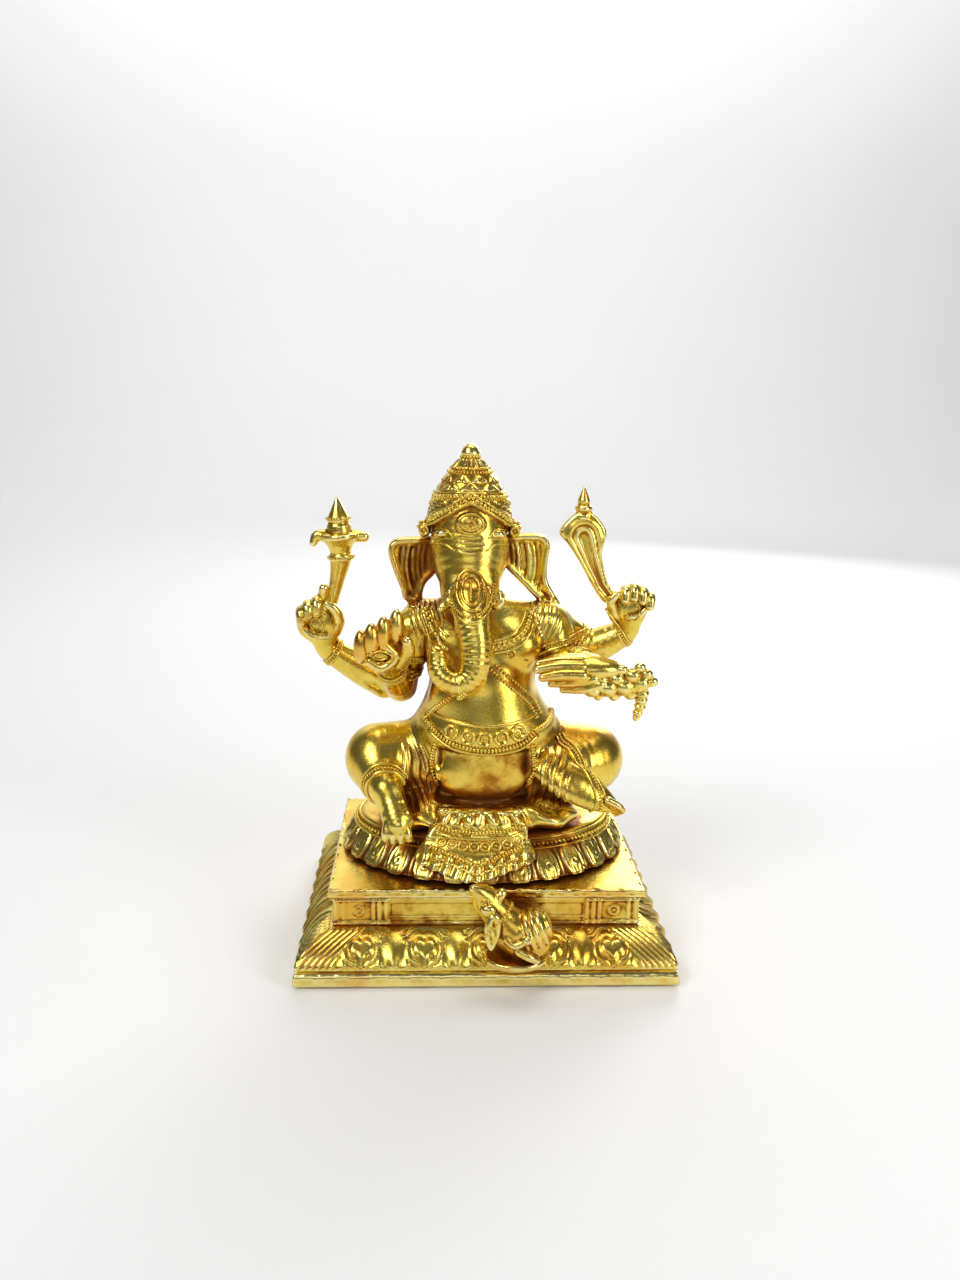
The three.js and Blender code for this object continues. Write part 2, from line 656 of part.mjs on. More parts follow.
/** Every casting, with the neighbours it is fitted to in the order they are set. */
const pieces = [
  ['base_tier', base_tier, []],
  ['dado_box', dado_box, []],
  ['top_plate', top_plate, []],
  ['lotus_seat', lotus_seat, []],
  ['seat_stud', seat_stud, []],
  ['seat_washer', seat_washer, []],
  ['seat_nut', seat_nut, []],
  ['torso', torso, []],
  ['right_leg', right_leg, [torso, lotus_seat]],
  ['left_leg', left_leg, [torso, lotus_seat]],
  ['apron_panel', apron_panel, [lotus_seat, torso, right_leg, left_leg]],
  ['head', head, []],
  ['trunk', trunk, [head, torso]],
  ['crown', crown, [head]],
  ['right_front_arm', right_front_arm, [torso]],
  ['left_front_arm', left_front_arm, [torso]],
  ['right_rear_arm', right_rear_arm, [torso, right_front_arm]],
  ['left_rear_arm', left_rear_arm, [torso, left_front_arm]],
  ['right_ear', right_ear, [head, crown, torso, right_front_arm, right_rear_arm]],
  ['left_ear', left_ear, [head, crown, torso, left_front_arm, left_rear_arm]],
  ['goad', goad, [right_rear_arm]],
  ['noose', noose, [left_rear_arm]],
  ['sweet_strand', sweet_strand, [left_front_arm]],
  ['mouse_plate', mouse_plate, [base_tier]],
  ['mouse', mouse, [mouse_plate, base_tier, apron_panel, lotus_seat]],
];

const gold = { color: 0xd9ab2e, roughness: 0.3, metalness: 1 };
const statue = new THREE.Group();

for (const [name, shape, neighbours] of pieces) {
  const body = cut(shape(), ...neighbours.map((neighbour) => neighbour(joint_gap)));
  const mesh = new THREE.Mesh(geometry_of(body), new THREE.MeshStandardMaterial(gold));
  mesh.name = name;
  statue.add(mesh);
}

const span = new THREE.Box3().setFromObject(statue);
const middle = span.getCenter(new THREE.Vector3());
statue.position.set(-middle.x, -middle.y, -span.min.z);

export default statue;
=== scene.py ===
"""Seated elephant-headed idol on a lotus seat and a moulded plinth: gold plated castings."""
import math

import bpy
import numpy as np
from bpy.props import FloatProperty, FloatVectorProperty, PointerProperty
from mathutils import Matrix, Vector


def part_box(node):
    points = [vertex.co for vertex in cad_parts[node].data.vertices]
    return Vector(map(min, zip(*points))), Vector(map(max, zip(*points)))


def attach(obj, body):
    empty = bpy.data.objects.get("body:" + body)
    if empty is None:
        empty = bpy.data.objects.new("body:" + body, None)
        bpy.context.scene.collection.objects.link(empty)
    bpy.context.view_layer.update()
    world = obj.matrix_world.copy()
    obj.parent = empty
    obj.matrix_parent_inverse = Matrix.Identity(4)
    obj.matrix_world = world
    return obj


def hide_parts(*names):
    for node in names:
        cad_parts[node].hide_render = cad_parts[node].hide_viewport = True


bl_info = {
    "name": "Seated idol on a lotus plinth",
    "version": (1, 0, 0),
    "blender": (4, 5, 0),
    "location": "View3D > Sidebar > Idol",
    "description": "Casts, chases and gilds a small seated idol round its packed CAD frame",
    "category": "Add Mesh",
}

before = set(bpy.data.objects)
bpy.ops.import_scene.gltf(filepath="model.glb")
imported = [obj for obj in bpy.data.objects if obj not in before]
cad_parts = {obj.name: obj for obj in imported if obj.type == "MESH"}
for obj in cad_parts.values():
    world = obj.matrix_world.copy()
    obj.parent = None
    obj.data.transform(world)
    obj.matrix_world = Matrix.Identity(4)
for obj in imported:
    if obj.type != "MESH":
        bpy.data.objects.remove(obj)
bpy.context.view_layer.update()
TIER_LOW, TIER_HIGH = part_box("base_tier")
MM = 0.001
# Castings are drawn in millimetres round the plinth's centre; this puts them in the frame.
PLACE = np.array([(TIER_LOW.x + TIER_HIGH.x) / 2, (TIER_LOW.y + TIER_HIGH.y) / 2, 0.0]) / MM
BLOCK = 16  # lattice steps along each side of a block that is worked on at once
JOINT = 0.03  # half the braze line between two castings, mm
IN_FRONT = -48.0  # y of a plane in front of the whole figure, mm
PLINTH_X, PLINTH_Y = 50.0, 39.5  # half sizes of the base
DADO_INSET, PLATE_INSET = 9.6, 8.3
PLATE_FOOT, PLATE_TOP = 20.9, 23.2
SEAT_X, SEAT_Y = 40.0, 29.4  # half sizes of the seat's foot
SEAT_FOOT, SEAT_TOP = 23.5, 33.5
SEAT_LEVEL = 33.75  # where the cloth and the lap are cut level above the seat
BOLT_HOLE = 2.85
PETALS = 28
MITRE_PITCH = 1.7
BAND_FOOT, BAND_RISE, BAND_WIDTH = 4.7, 8.0, 12.0  # the base's carved band; its width follows the slope
DADO_FOOT, DADO_TOP = 13.0, 20.6
FLOOR_DROP = 0.0004  # m under the frame's own floor
CAMERA_AT = (-15.0, -275.4, 150.7)
CAMERA_TURN = (2.73, 13.84, -1.16)  # yaw, pitch and roll, degrees


# ------------------------------------------------------------------ curves


def spline(points, steps=6, closed=False):
    """Smooth row of stations through the given ones."""
    p = np.array(points, float)
    n = len(p)
    if closed:
        p = np.vstack([p[-1:], p, p[:2]])
        spans = n
    else:
        p = np.vstack([2 * p[0] - p[1], p, 2 * p[-1] - p[-2]])
        spans = n - 1
    t = np.linspace(0, 1, steps, endpoint=False)[:, None]
    rows = []
    for i in range(spans):
        a, b, c, d = p[i:i + 4]
        rows.append(0.5 * (2 * b + (c - a) * t + (2 * a - 5 * b + 4 * c - d) * t ** 2
                           + (3 * b - a - 3 * c + d) * t ** 3))
    if not closed:
        rows.append(p[-2][None])
    return np.vstack(rows)


def smoothstep(low, high, value):
    """Smooth rise from 0 at low to 1 at high."""
    t = np.clip((value - low) / (high - low), 0, 1)
    return t * t * (3 - 2 * t)


def ridge(value, half_width):
    """A rounded ridge, 1 on its crest and 0 from half_width outwards."""
    return np.clip(1 - (value / half_width) ** 2, 0, 1) ** 1.5


def unit(v):
    """The same directions with length 1."""
    v = np.asarray(v, float)
    return v / np.linalg.norm(v, axis=-1, keepdims=True)


# ------------------------------------------------------------------ forms


class Form:
    """One round form of a casting: its distance field in mm and the box that holds it."""

    def __init__(self, part, low, high, distance, blend):
        self.part, self.distance, self.blend = part, distance, blend
        self.low, self.high = np.array(low, float), np.array(high, float)


def to_segments(points, first, last):
    """Squared distance from points to each segment, and the share along it."""
    middle = first.mean(0)
    p, a = points - middle, first - middle
    ab = last - first
    length2 = np.maximum((ab * ab).sum(1), 1e-9)
    along = p @ ab.T - (a * ab).sum(1)
    t = np.clip(along / length2, 0, 1)
    square = (p * p).sum(1)[:, None] - 2 * p @ a.T + (a * a).sum(1)
    return np.maximum(square - 2 * t * along + t * t * length2, 0), t


def limb(part, stations, blend=1.0, steps=4, rib=None):
    """Round limb through stations (x, y, z, radius); rib is (pitch, height, first, last)."""
    s = spline(stations, steps) if len(stations) > 2 else np.array(stations, float)
    first, last = s[:-1, :3], s[1:, :3]
    r0, dr = s[:-1, 3], s[1:, 3] - s[:-1, 3]
    lengths = np.linalg.norm(last - first, axis=1)
    starts = np.concatenate([[0], np.cumsum(lengths)[:-1]])

    def distance(p):
        square, t = to_segments(p, first, last)
        d = np.sqrt(square) - (r0 + t * dr)
        if rib is None:
            return d.min(1)
        nearest = d.argmin(1)[:, None]
        run = starts + t * lengths
        run = np.take_along_axis(run, nearest, 1)[:, 0]
        wave = (0.5 + 0.5 * np.cos(2 * math.pi * run / rib[0])) ** 1.5
        wave *= smoothstep(rib[2], rib[2] + 1, run) * smoothstep(rib[3], rib[3] - 1, run)
        return np.take_along_axis(d, nearest, 1)[:, 0] - rib[1] * wave

    reach = s[:, 3:4].max() + 0.6
    return Form(part, s[:, :3].min(0) - reach, s[:, :3].max(0) + reach, distance, blend)


def ball(part, centre, radii, blend=1.0, turn=(0, 0, 0)):
    """Ball with its own three radii, turned by three angles in degrees."""
    c, r = np.array(centre, float), np.array(radii, float)
    spin = rotation(turn)
    reach = r.max() + 0.3 if any(turn) else r + 0.3

    def distance(p):
        q = (p - c) @ spin
        k0 = np.linalg.norm(q / r, axis=1)
        k1 = np.linalg.norm(q / r ** 2, axis=1)
        return np.where(k1 > 1e-6, k0 * (k0 - 1) / np.maximum(k1, 1e-6), -r.min())

    return Form(part, c - reach, c + reach, distance, blend)


def flattened(form, centre, axis, factor):
    """The same form pressed flat across an axis."""
    centre, axis, bare = np.array(centre, float), unit(axis), form.distance
    form.distance = lambda p: bare(p + (factor - 1) * ((p - centre) @ axis)[:, None] * axis) / factor
    return form


def rotation(degrees):
    """Rotation matrix whose columns are the turned axes."""
    x, y, z = np.radians(degrees)
    rx = np.array([[1, 0, 0], [0, math.cos(x), -math.sin(x)], [0, math.sin(x), math.cos(x)]])
    ry = np.array([[math.cos(y), 0, math.sin(y)], [0, 1, 0], [-math.sin(y), 0, math.cos(y)]])
    rz = np.array([[math.cos(z), -math.sin(z), 0], [math.sin(z), math.cos(z), 0], [0, 0, 1]])
    return rz @ ry @ rx


def outline_distance(points, outline):
    """Signed distance in a plane to a closed outline, negative inside."""
    a, b = outline, np.roll(outline, -1, 0)
    square, _ = to_segments(points, a, b)
    x, y = points[:, :1], points[:, 1:]
    straddles = (a[:, 1] > y) != (b[:, 1] > y)
    rise = np.where(np.abs(b[:, 1] - a[:, 1]) < 1e-9, 1e-9, b[:, 1] - a[:, 1])
    crossing = x < (b[:, 0] - a[:, 0]) * (y - a[:, 1]) / rise + a[:, 0]
    inside = (straddles & crossing).sum(1) % 2 == 1
    d = np.sqrt(square.min(1))
    return np.where(inside, -d, d)


def slab(part, outline, depth, thickness, blend=0.8, face=None, edge=0.8, slant=(0, 0)):
    """Flat casting cut to an outline in x and z; face(x, z, d, front) adds to its thickness."""
    line = spline(outline, 4, closed=True)
    middle = line.mean(0)
    half = thickness / 2 - edge
    low = [line[:, 0].min() - 1, depth - thickness - 2.5, line[:, 1].min() - 1]
    high = [line[:, 0].max() + 1, depth + thickness + 2.5, line[:, 1].max() + 1]

    def distance(p):
        flat = p[:, [0, 2]]
        d = outline_distance(flat, line) + edge
        y = p[:, 1] - depth - (flat - middle) @ np.array(slant)
        h = half + (face(flat[:, 0], flat[:, 1], d, y < 0) if face else 0)
        away = np.abs(y) - h
        return (np.sqrt(np.maximum(d, 0) ** 2 + np.maximum(away, 0) ** 2)
                + np.minimum(np.maximum(d, away), 0) - edge)

    return Form(part, low, high, distance, blend)


def turned(part, profile, foot, lean=(0, 0, 1), blend=0.5, chasing=None):
    """Turned form from a profile (radius, height); chasing(angle, height) raises it."""
    foot = np.array(foot, float)
    up = unit(lean)
    side = unit(np.cross([0, 1, 0], up))
    front = np.cross(side, up)  # towards -y when the axis stands upright
    profile = np.array(profile, float)
    tall, wide = profile[:, 1].max(), profile[:, 0].max()
    outline = np.vstack([profile, profile[::-1] * [-1, 1]])
    ends = np.vstack([foot + up * profile[:, 1].min(), foot + up * tall])

    def distance(p):
        q = p - foot
        h = q @ up
        x, y = q @ side, q @ front
        r = np.hypot(x, y)
        d = outline_distance(np.stack([r, h], 1), outline)
        if chasing:
            d = d - chasing(np.arctan2(x, y), h)
        return d

    return Form(part, ends.min(0) - wide - 0.8, ends.max(0) + wide + 0.8, distance, blend)


TORSO = np.array([
    [0, 0, 2, 19, 14], [0.1, 0, 1.5, 20.4, 16], [0.24, 0, 0.6, 21, 17.4],
    [0.35, 0, -1, 20.5, 17.8], [0.45, 0, -2, 19.6, 17.4], [0.52, -0.6, -2, 17, 16.4],
    [0.61, -1, -1.2, 14.8, 14.6], [0.7, -1, -0.4, 15, 13.2], [0.8, -0.5, 0.6, 17.2, 12.4],
    [0.9, -0.4, 1.6, 16.6, 10.4], [0.96, -1.4, 1.9, 12, 8.4], [1, -2.6, 2, 8, 7],
])
TORSO_FOOT, TORSO_TALL = 33.8, 61.0


def trunk_of_body():
    """The torso's own barrel, through oval sections."""
    rows = spline(TORSO, 8)
    z = TORSO_FOOT + TORSO_TALL * rows[:, 0]
    slope = np.gradient(rows[:, 3], z)

    def distance(p):
        at = p[:, 2]
        cx, cy, rx, ry, lean = (np.interp(at, z, v) for v in
                                (rows[:, 1], rows[:, 2], rows[:, 3], rows[:, 4], slope))
        x, y = p[:, 0] - cx, p[:, 1] - cy
        k0 = np.hypot(x / rx, y / ry)
        k1 = np.maximum(np.hypot(x / rx ** 2, y / ry ** 2), 1e-6)
        d = k0 * (k0 - 1) / k1 / np.sqrt(1 + lean ** 2)
        d = np.where(k0 < 0.05, -np.minimum(rx, ry), d)
        away = np.abs(at - (z[0] + z[-1]) / 2) - (z[-1] - z[0]) / 2
        return np.maximum(d, away)

    return Form("torso", [-22, -21, 33], [22, 20, 96], distance, 0.1)


# ------------------------------------------------------------------ the figure's forms

HEAD_X = -5.3
EYE_X = 7.2
BROW = 113.8
RIGHT_EAR = [(0, -3), (0.6, -3), (4.6, -3.2), (10.6, -3.6), (12.9, -6.4), (11.6, -12),
             (9.6, -17), (8.4, -20.4), (4.4, -20.6), (2.6, -16), (-0.4, -12)]
LEFT_EAR = [(-0.6, -3), (3, -2.2), (10.4, -2), (13.2, -4.6), (12.8, -10), (13, -15),
            (16, -20.6), (12, -21.4), (7, -17), (2.4, -12.6), (-0.6, -9)]
TRUNK = [(-5.4, -13, 96.6, 5), (-4.7, -17, 90.9, 4.5), (-3.9, -19, 85, 4.1),
         (-4.3, -20.2, 79.8, 3.8), (-6.6, -20.8, 76.6, 3.5), (-10, -20.4, 76.6, 3.2),
         (-13, -19.2, 79, 2.9), (-13.8, -17.8, 83.2, 2.6)]
CROWN_Y = 1.4
CROWN_AXIS = (HEAD_X, CROWN_Y, 114.8)
CROWN = [(10.9, -6), (11.3, 0), (11.1, 3), (10.1, 6.4), (8.5, 9.6), (6.3, 13), (4.5, 15.4),
         (3.1, 17), (2.3, 17.6), (2.6, 18.8), (1.9, 20.2), (0.7, 21.2), (0, 21.6)]
GOAD_HEAD = [(3.3, -0.6), (3.3, 0.8), (2.7, 1.3), (3.4, 3.4), (4.8, 5), (5.2, 5.4), (5.2, 6.4),
             (3.4, 7), (3.2, 8.8), (2.7, 9.6), (3, 10.2), (2.8, 11), (0.3, 16.2), (0, 16.4)]
NOOSE_FOOT = (34, -0.2, 94.7)
NOOSE = [(-8.6, 24.6), (-2.6, 19.2), (-3.4, 12.4), (-1.4, 5), (1.4, 0.8), (-1.8, -1),
         (-5.2, 3), (-9, 9.6), (-12.6, 15), (-15, 18.8)]
APRON = np.array([[0, -19.4, 7.4, 9.4], [0.2, -21.2, 5.6, 11.2], [0.42, -22.6, 3, 12.6],
                  [0.58, -24.2, 0, 14], [0.74, -27, -3.4, 16], [0.82, -28.4, -4.8, 14], [1, -30.4, -8, 2]])
MOUSE = np.array([7, -39.9, 9.98])
RIGHT_ANKLE = np.array([-26.75, -16.9, 45.5])
LEFT_ANKLE = np.array([17.8, -13.9, 50.7])


def moved(base, *rows):
    """Stations given from a base point."""
    return [tuple(np.add(base, row[:3])) + tuple(row[3:]) for row in rows]


def ear_face(centre_x, height, way):
    """Rolled rim and hanging folds of an ear."""
    def face(x, z, d, front):
        rim = 0.5 * ridge(d + 0.1, 1.1)
        u = way * (x - centre_x)
        drop = (height - z) / 18
        inner = smoothstep(-0.9, -2.3, d)
        bow = u - 5.5 - 2.6 * np.sin(2.6 * drop)
        folds = (np.cos(1.75 * bow) * (0.6 + 0.4 * np.cos(0.9 * bow + 2 * drop))
                 + 0.35 * np.cos(4.4 * bow + 3 * drop))
        return np.where(front, rim - 0.45 * inner + 0.46 * inner * folds, 0.2 * rim)
    return face


def noose_face(x, z, d, front):
    """An upturned loop of two ropes round a sunk middle."""
    x, z = x - NOOSE_FOOT[0], z - NOOSE_FOOT[2]
    axis = np.array([(0, 0, 0), (-3.2, 0, 4), (-6.3, 0, 11), (-8.6, 0, 17.4)], float)
    e = np.sqrt(to_segments(np.column_stack([x, 0 * x, z]), axis[:-1], axis[1:])[0].min(1))
    e = e / np.interp(z, (0, 5, 12, 17), (1.7, 2.2, 3.6, 5.0))
    ropes = 0.42 * ridge(e - 0.8, 0.2) + 0.36 * ridge(e - 0.42, 0.16)
    return np.where(front, ropes - 0.3 * smoothstep(0.32, 0.16, e), 0.3 * ropes)


def crown_brim(x, y):
    """Height of the crown's lower edge: level behind, and up to a point over the brow."""
    point = 4.4 * np.clip(1 - np.abs(x) / 9.5, 0, 1) * smoothstep(2, -4, y)
    return 113.2 - 0.32 * (y - 1.4) + point


def crown_chasing(angle, h):
    """Crossed hatching at the foot, rows of pointed leaves above and fins under the knob."""
    one, two = (ridge((angle * 3.2 + way * h) % 1 - 0.5, 0.24) for way in (0.62, -0.62))
    low = smoothstep(-3, -2.4, h) * smoothstep(7.3, 6.9, h)
    rows = (h - 7.6) / 1.95
    odd = np.floor(rows) % 2
    across = (angle * 9 / math.pi + odd) % 2 - 1
    up = rows % 1
    leaf = smoothstep(0.0, 0.22, 1 - np.abs(across) - 0.75 * up) * (1 - 0.55 * up)
    leaf = leaf - 0.6 * ridge(across, 0.16) * (up < 0.5)
    high = smoothstep(7.4, 7.7, h) * smoothstep(13.3, 13.0, h)
    fins = np.cos(16 * angle) * smoothstep(14.6, 15, h) * smoothstep(17.4, 17, h)
    return 0.34 * low * np.maximum(one, two) + 0.46 * high * leaf + 0.3 * fins


def apron_sheet():
    """The embroidered apron that hangs from the lap over the front of the seat."""
    rows = spline(APRON, 6)
    z = SEAT_TOP + rows[:, 2]
    order = np.argsort(z)
    z, y, half, share = z[order], rows[order, 1], rows[order, 3], rows[order, 0]
    cosine = 1 / np.sqrt(1 + np.gradient(y, z) ** 2)

    def distance(p):
        at = p[:, 2]
        my, hw, v, cs = (np.interp(at, z, value) for value in (y, half, share, cosine))
        x = p[:, 0] + 1.7 + 2.4 * v ** 2
        wrap = 0.010 * x * x
        away = (p[:, 1] - my - wrap) * cs
        u = x / np.maximum(hw, 0.5)
        pleat = np.cos(7 * math.pi * u) * smoothstep(0.33, 0.26, v)
        leaf = np.cos(1.9 * np.abs(x) - 7 * (v - 0.6)) * smoothstep(0.72, 0.77, v + 0.009 * np.abs(x))
        lift = 0.42 * pleat + 0.38 * leaf - 0.35 * smoothstep(0.52, 0.56, v) * smoothstep(0.7, 0.64, v)
        thick = np.abs(away) - 0.9 - np.where(away < 0, lift, 0)
        side = (np.abs(x) - hw) * 0.85
        ends = np.maximum(z[0] - at, at - z[-1])
        edge = np.maximum(side, ends)
        r = 0.5
        return (np.sqrt(np.maximum(thick + r, 0) ** 2 + np.maximum(edge + r, 0) ** 2)
                + np.minimum(np.maximum(thick, edge) + r, 0) - r)

    return Form("apron_panel", [-23, -33, 24.6], [17, -15, 42.5], distance, 0.5)


def fingers(part, rows, blend=0.35):
    """One thin limb for each row of centres and radii."""
    return [limb(part, row, blend, 3) for row in rows]


def level_foot(form):
    """The same form cut level above the seat."""
    bare = form.distance
    form.distance = lambda p: np.maximum(bare(p), SEAT_LEVEL - p[:, 2])
    return form


def body_forms():
    """The barrel with its belly, shoulders and breasts."""
    f = [trunk_of_body()]
    add = f.append
    add(ball("torso", (-1, -14.4, 49), (13, 4.8, 9), 2))
    add(limb("torso", [(-16.6, 3, 87.8, 5.2), (0, 3.4, 88.6, 5), (16.6, 3, 87.8, 5.2)], 3))
    add(ball("torso", (-10, -6.6, 83.2), (6.6, 4.4, 5.8), 3))
    add(ball("torso", (6.6, -7.4, 82.8), (7.2, 4.4, 5.6), 3))
    add(ball("torso", (-2, -8.6, 70), (12.5, 8, 8.2), 4))
    return f


def leg_forms():
    """Folded legs with their feet and toes."""
    f = []
    add = f.append
    add(limb("right_leg", [(-12, 1, 48.2, 10.4), (-21, -1.2, 49.2, 10.2), (-29.55, -2.9, 49.9, 9.3)], 4))
    add(limb("right_leg", [(-29.6, -5, 47.6, 7.6), (-28.2, -10.6, 46.4, 6.3),
                           tuple(RIGHT_ANKLE) + (4.4,)], 3))
    add(limb("right_leg", moved(RIGHT_ANKLE, (0, 0, 0, 4), (1.7, -3.2, -3.2, 3.8),
                                (3.2, -7, -7, 2.9)), 1.5))
    add(ball("right_leg", RIGHT_ANKLE + (3.4, -6.2, -6), (4.1, 2.4, 3.6), 1.2, (-20, 0, 0)))
    toe = RIGHT_ANKLE + (3.2, -7, -7)
    f += fingers("right_leg", [moved(toe, (k * 1.4 - 0.4, -0.4, 0.2, 1.3),
                                     (k * 1.75 - 0.3, -1.9 + 0.35 * abs(k), -1.9, 1.25),
                                     (k * 1.9 - 0.2, -1.9 + 0.3 * abs(k), -4.2 + 0.5 * abs(k), 1.0))
                               for k in (-1.6, -0.55, 0.55, 1.6)], 0.4)
    add(limb("left_leg", [(12, 1, 48.2, 10.4), (21, -0.6, 49, 10.2), (29.8, -1.5, 49.3, 9.3)], 4))
    add(limb("left_leg", [(28.8, -3.9, 48.3, 7.8), (22.8, -9.4, 49.6, 6.2),
                          tuple(LEFT_ANKLE + (0, 0.8, 0)) + (4.8,)], 3))
    foot = limb("left_leg", moved(LEFT_ANKLE, (-1.4, -2.6, 0.2, 4.4), (5, -4.6, -2.6, 5.2),
                                  (10.4, -5.6, -5.4, 4.4), (14.6, -5.8, -7.8, 2.6)), 1.2)
    add(flattened(foot, LEFT_ANKLE + (6.4, -4.6, -3.4), (0.2, -0.8, 0.56), 1.75))
    tip = LEFT_ANKLE + (14.2, -5.8, -7.4)
    f += fingers("left_leg", [moved(tip, (0, -1.4 + k * 0.9, 0.6 - k * 0.7, 1.15),
                                    (2.4 - 0.3 * k, -1.6 + k * 1.0, -0.9 - k * 0.8, 1.0),
                                    (3.6 - 0.4 * k, -1.4 + k * 1.0, -2.2 - k * 0.7, 0.85))
                              for k in (-1, 0, 1, 2)], 0.4)
    return f


def lap_forms():
    """The apron, the lumps of braze along its top and the cloth that lies on the seat."""
    f = []
    add = f.append
    add(apron_sheet())
    for i, x in enumerate(np.linspace(-11.5, 8.5, 11)):
        add(ball("apron_panel", (x, -19.8 + 0.5 * math.sin(3 * i), 40.7 + 0.5 * math.cos(5 * i)),
                 (1.5, 1.3, 0.9 + 0.2 * math.sin(7 * i)), 0.5))
    add(level_foot(limb("torso", [(-21, -6, 38.4, 4.6), (-12, -14.2, 37.4, 4.4), (-1, -17.4, 36.8, 3.9),
                                  (10, -14.2, 37.4, 4.4), (20, -6, 38.4, 4.6)], 3, 6)))
    for side, x in ((-1, -20), (1, 18)):
        add(level_foot(ball("torso", (x, -12.6, 36.4), (8.4, 5.4, 3.2), 2.0, (0, 0, side * 28))))
    return f


def head_forms():
    """The head, trunk, ears and crown."""
    f = []
    add = f.append
    add(limb("head", [(HEAD_X, 0, 115.4, 9.3), (HEAD_X, -0.6, 108.4, 10.5),
                      (HEAD_X, -4.6, 101.2, 8.1), (HEAD_X, -8.4, 95.8, 5.5)], 1.5))
    add(ball("head", (-4.7, 3.4, 104.8), (9.5, 8.5, 12), 2.5))
    add(ball("head", (HEAD_X, -9.0, 116.0), (3.9, 1.9, 2.9), 0.35))
    add(ball("head", (HEAD_X - 4.4, -8.6, 97.6), (2.8, 3, 4.4), 3))
    add(ball("head", (HEAD_X + 4.6, -8.6, 98), (2.8, 3, 4.4), 3))
    add(ball("head", (HEAD_X, -12.4, 100), (3.7, 1.8, 4.8), 0.4, (-16, 0, 0)))
    for side in (-1, 1):
        add(ball("head", (HEAD_X + side * EYE_X, -6.1, 113.2), (2.3, 2.2, 1.3), 0.3, (0, side * 14, 0)))
        add(ball("head", (HEAD_X + side * 12.1, 0.4, 113.2), (1.7, 2.2, 2.2), 0.4))
    add(limb("head", [(-10.4, -10.8, 97, 1.7), (-12.2, -13.6, 95, 1.25), (-13, -15, 94.6, 0.8)], 0.5))
    add(limb("head", [(-0.4, -10.8, 97, 1.6), (1.8, -13.2, 95.2, 1.2), (2.9, -13.8, 97, 0.9),
                      (2.5, -12.6, 98.8, 0.7)], 0.4))
    add(limb("trunk", TRUNK, 0.35, 6, rib=(1.4, 0.14, 2.2, 34)))
    add(ball("trunk", (-5.4, -12.6, 96.9), (4.9, 4, 4.6), 2.2))
    for part, outline, way, depth in (("right_ear", RIGHT_EAR, -1, 4), ("left_ear", LEFT_EAR, 1, 4.4)):
        line = [(HEAD_X + way * (9 + x), BROW + z) for x, z in outline]
        add(slab(part, line, depth, 3, 0.7, ear_face(HEAD_X + way * 9, BROW, way),
                 slant=(-0.10 * way, 0.03)))
    crown = turned("crown", [(0, -6)] + CROWN, CROWN_AXIS, blend=0.25, chasing=crown_chasing)
    bare = crown.distance

    def brimmed(p):
        brim = (crown_brim(p[:, 0] - HEAD_X, p[:, 1]) - p[:, 2]) * 0.85
        return np.maximum(bare(p), brim)

    crown.distance = brimmed
    crown.low[2] = 108
    add(crown)
    return f


ARMS = {  # shoulder, elbow, wrist, palm and the palm's three radii
    "right_rear_arm": ((-18.2, 3, 87.8), (-28.3, 6, 68.7), (-43.3, 2.5, 79.2), (-45.9, 0.9, 86.8),
                       (6.2, 3.2, 5.4)),
    "left_rear_arm": ((17, 3, 87.8), (29.5, 5, 79.1), (38.8, 2, 85.3), (39.4, 0.4, 92.1), (4.9, 3.2, 5.2)),
    "right_front_arm": ((-20.6, -0.5, 86.2), (-23.6, 0, 69.6), (-25.9, -11.1, 78.1), (-27.3, -15.3, 83.3),
                        (6.2, 2.8, 6)),
    "left_front_arm": ((17.2, -0.5, 87.8), (20.1, -1.6, 77.7), (26.7, -14, 79.3), (27.5, -16.4, 79.3),
                       (7.8, 4.1, 3.0)),
}


def arm(part):
    """Upper arm, forearm and palm; the upper arm blends most, into the shoulder."""
    s, e, w, h = (np.array(v, float) for v in ARMS[part][:4])
    return [limb(part, [(*s, 4.9), (*(0.55 * s + 0.45 * e), 4.9), (*e, 4.1)], 3.0),
            limb(part, [(*e, 4.1), (*(0.65 * e + 0.35 * w), 4.6), (*w, 3.4),
                        (*(0.5 * w + 0.5 * h), 3.3)], 1.5),
            ball(part, *ARMS[part][3:], 2.0)]


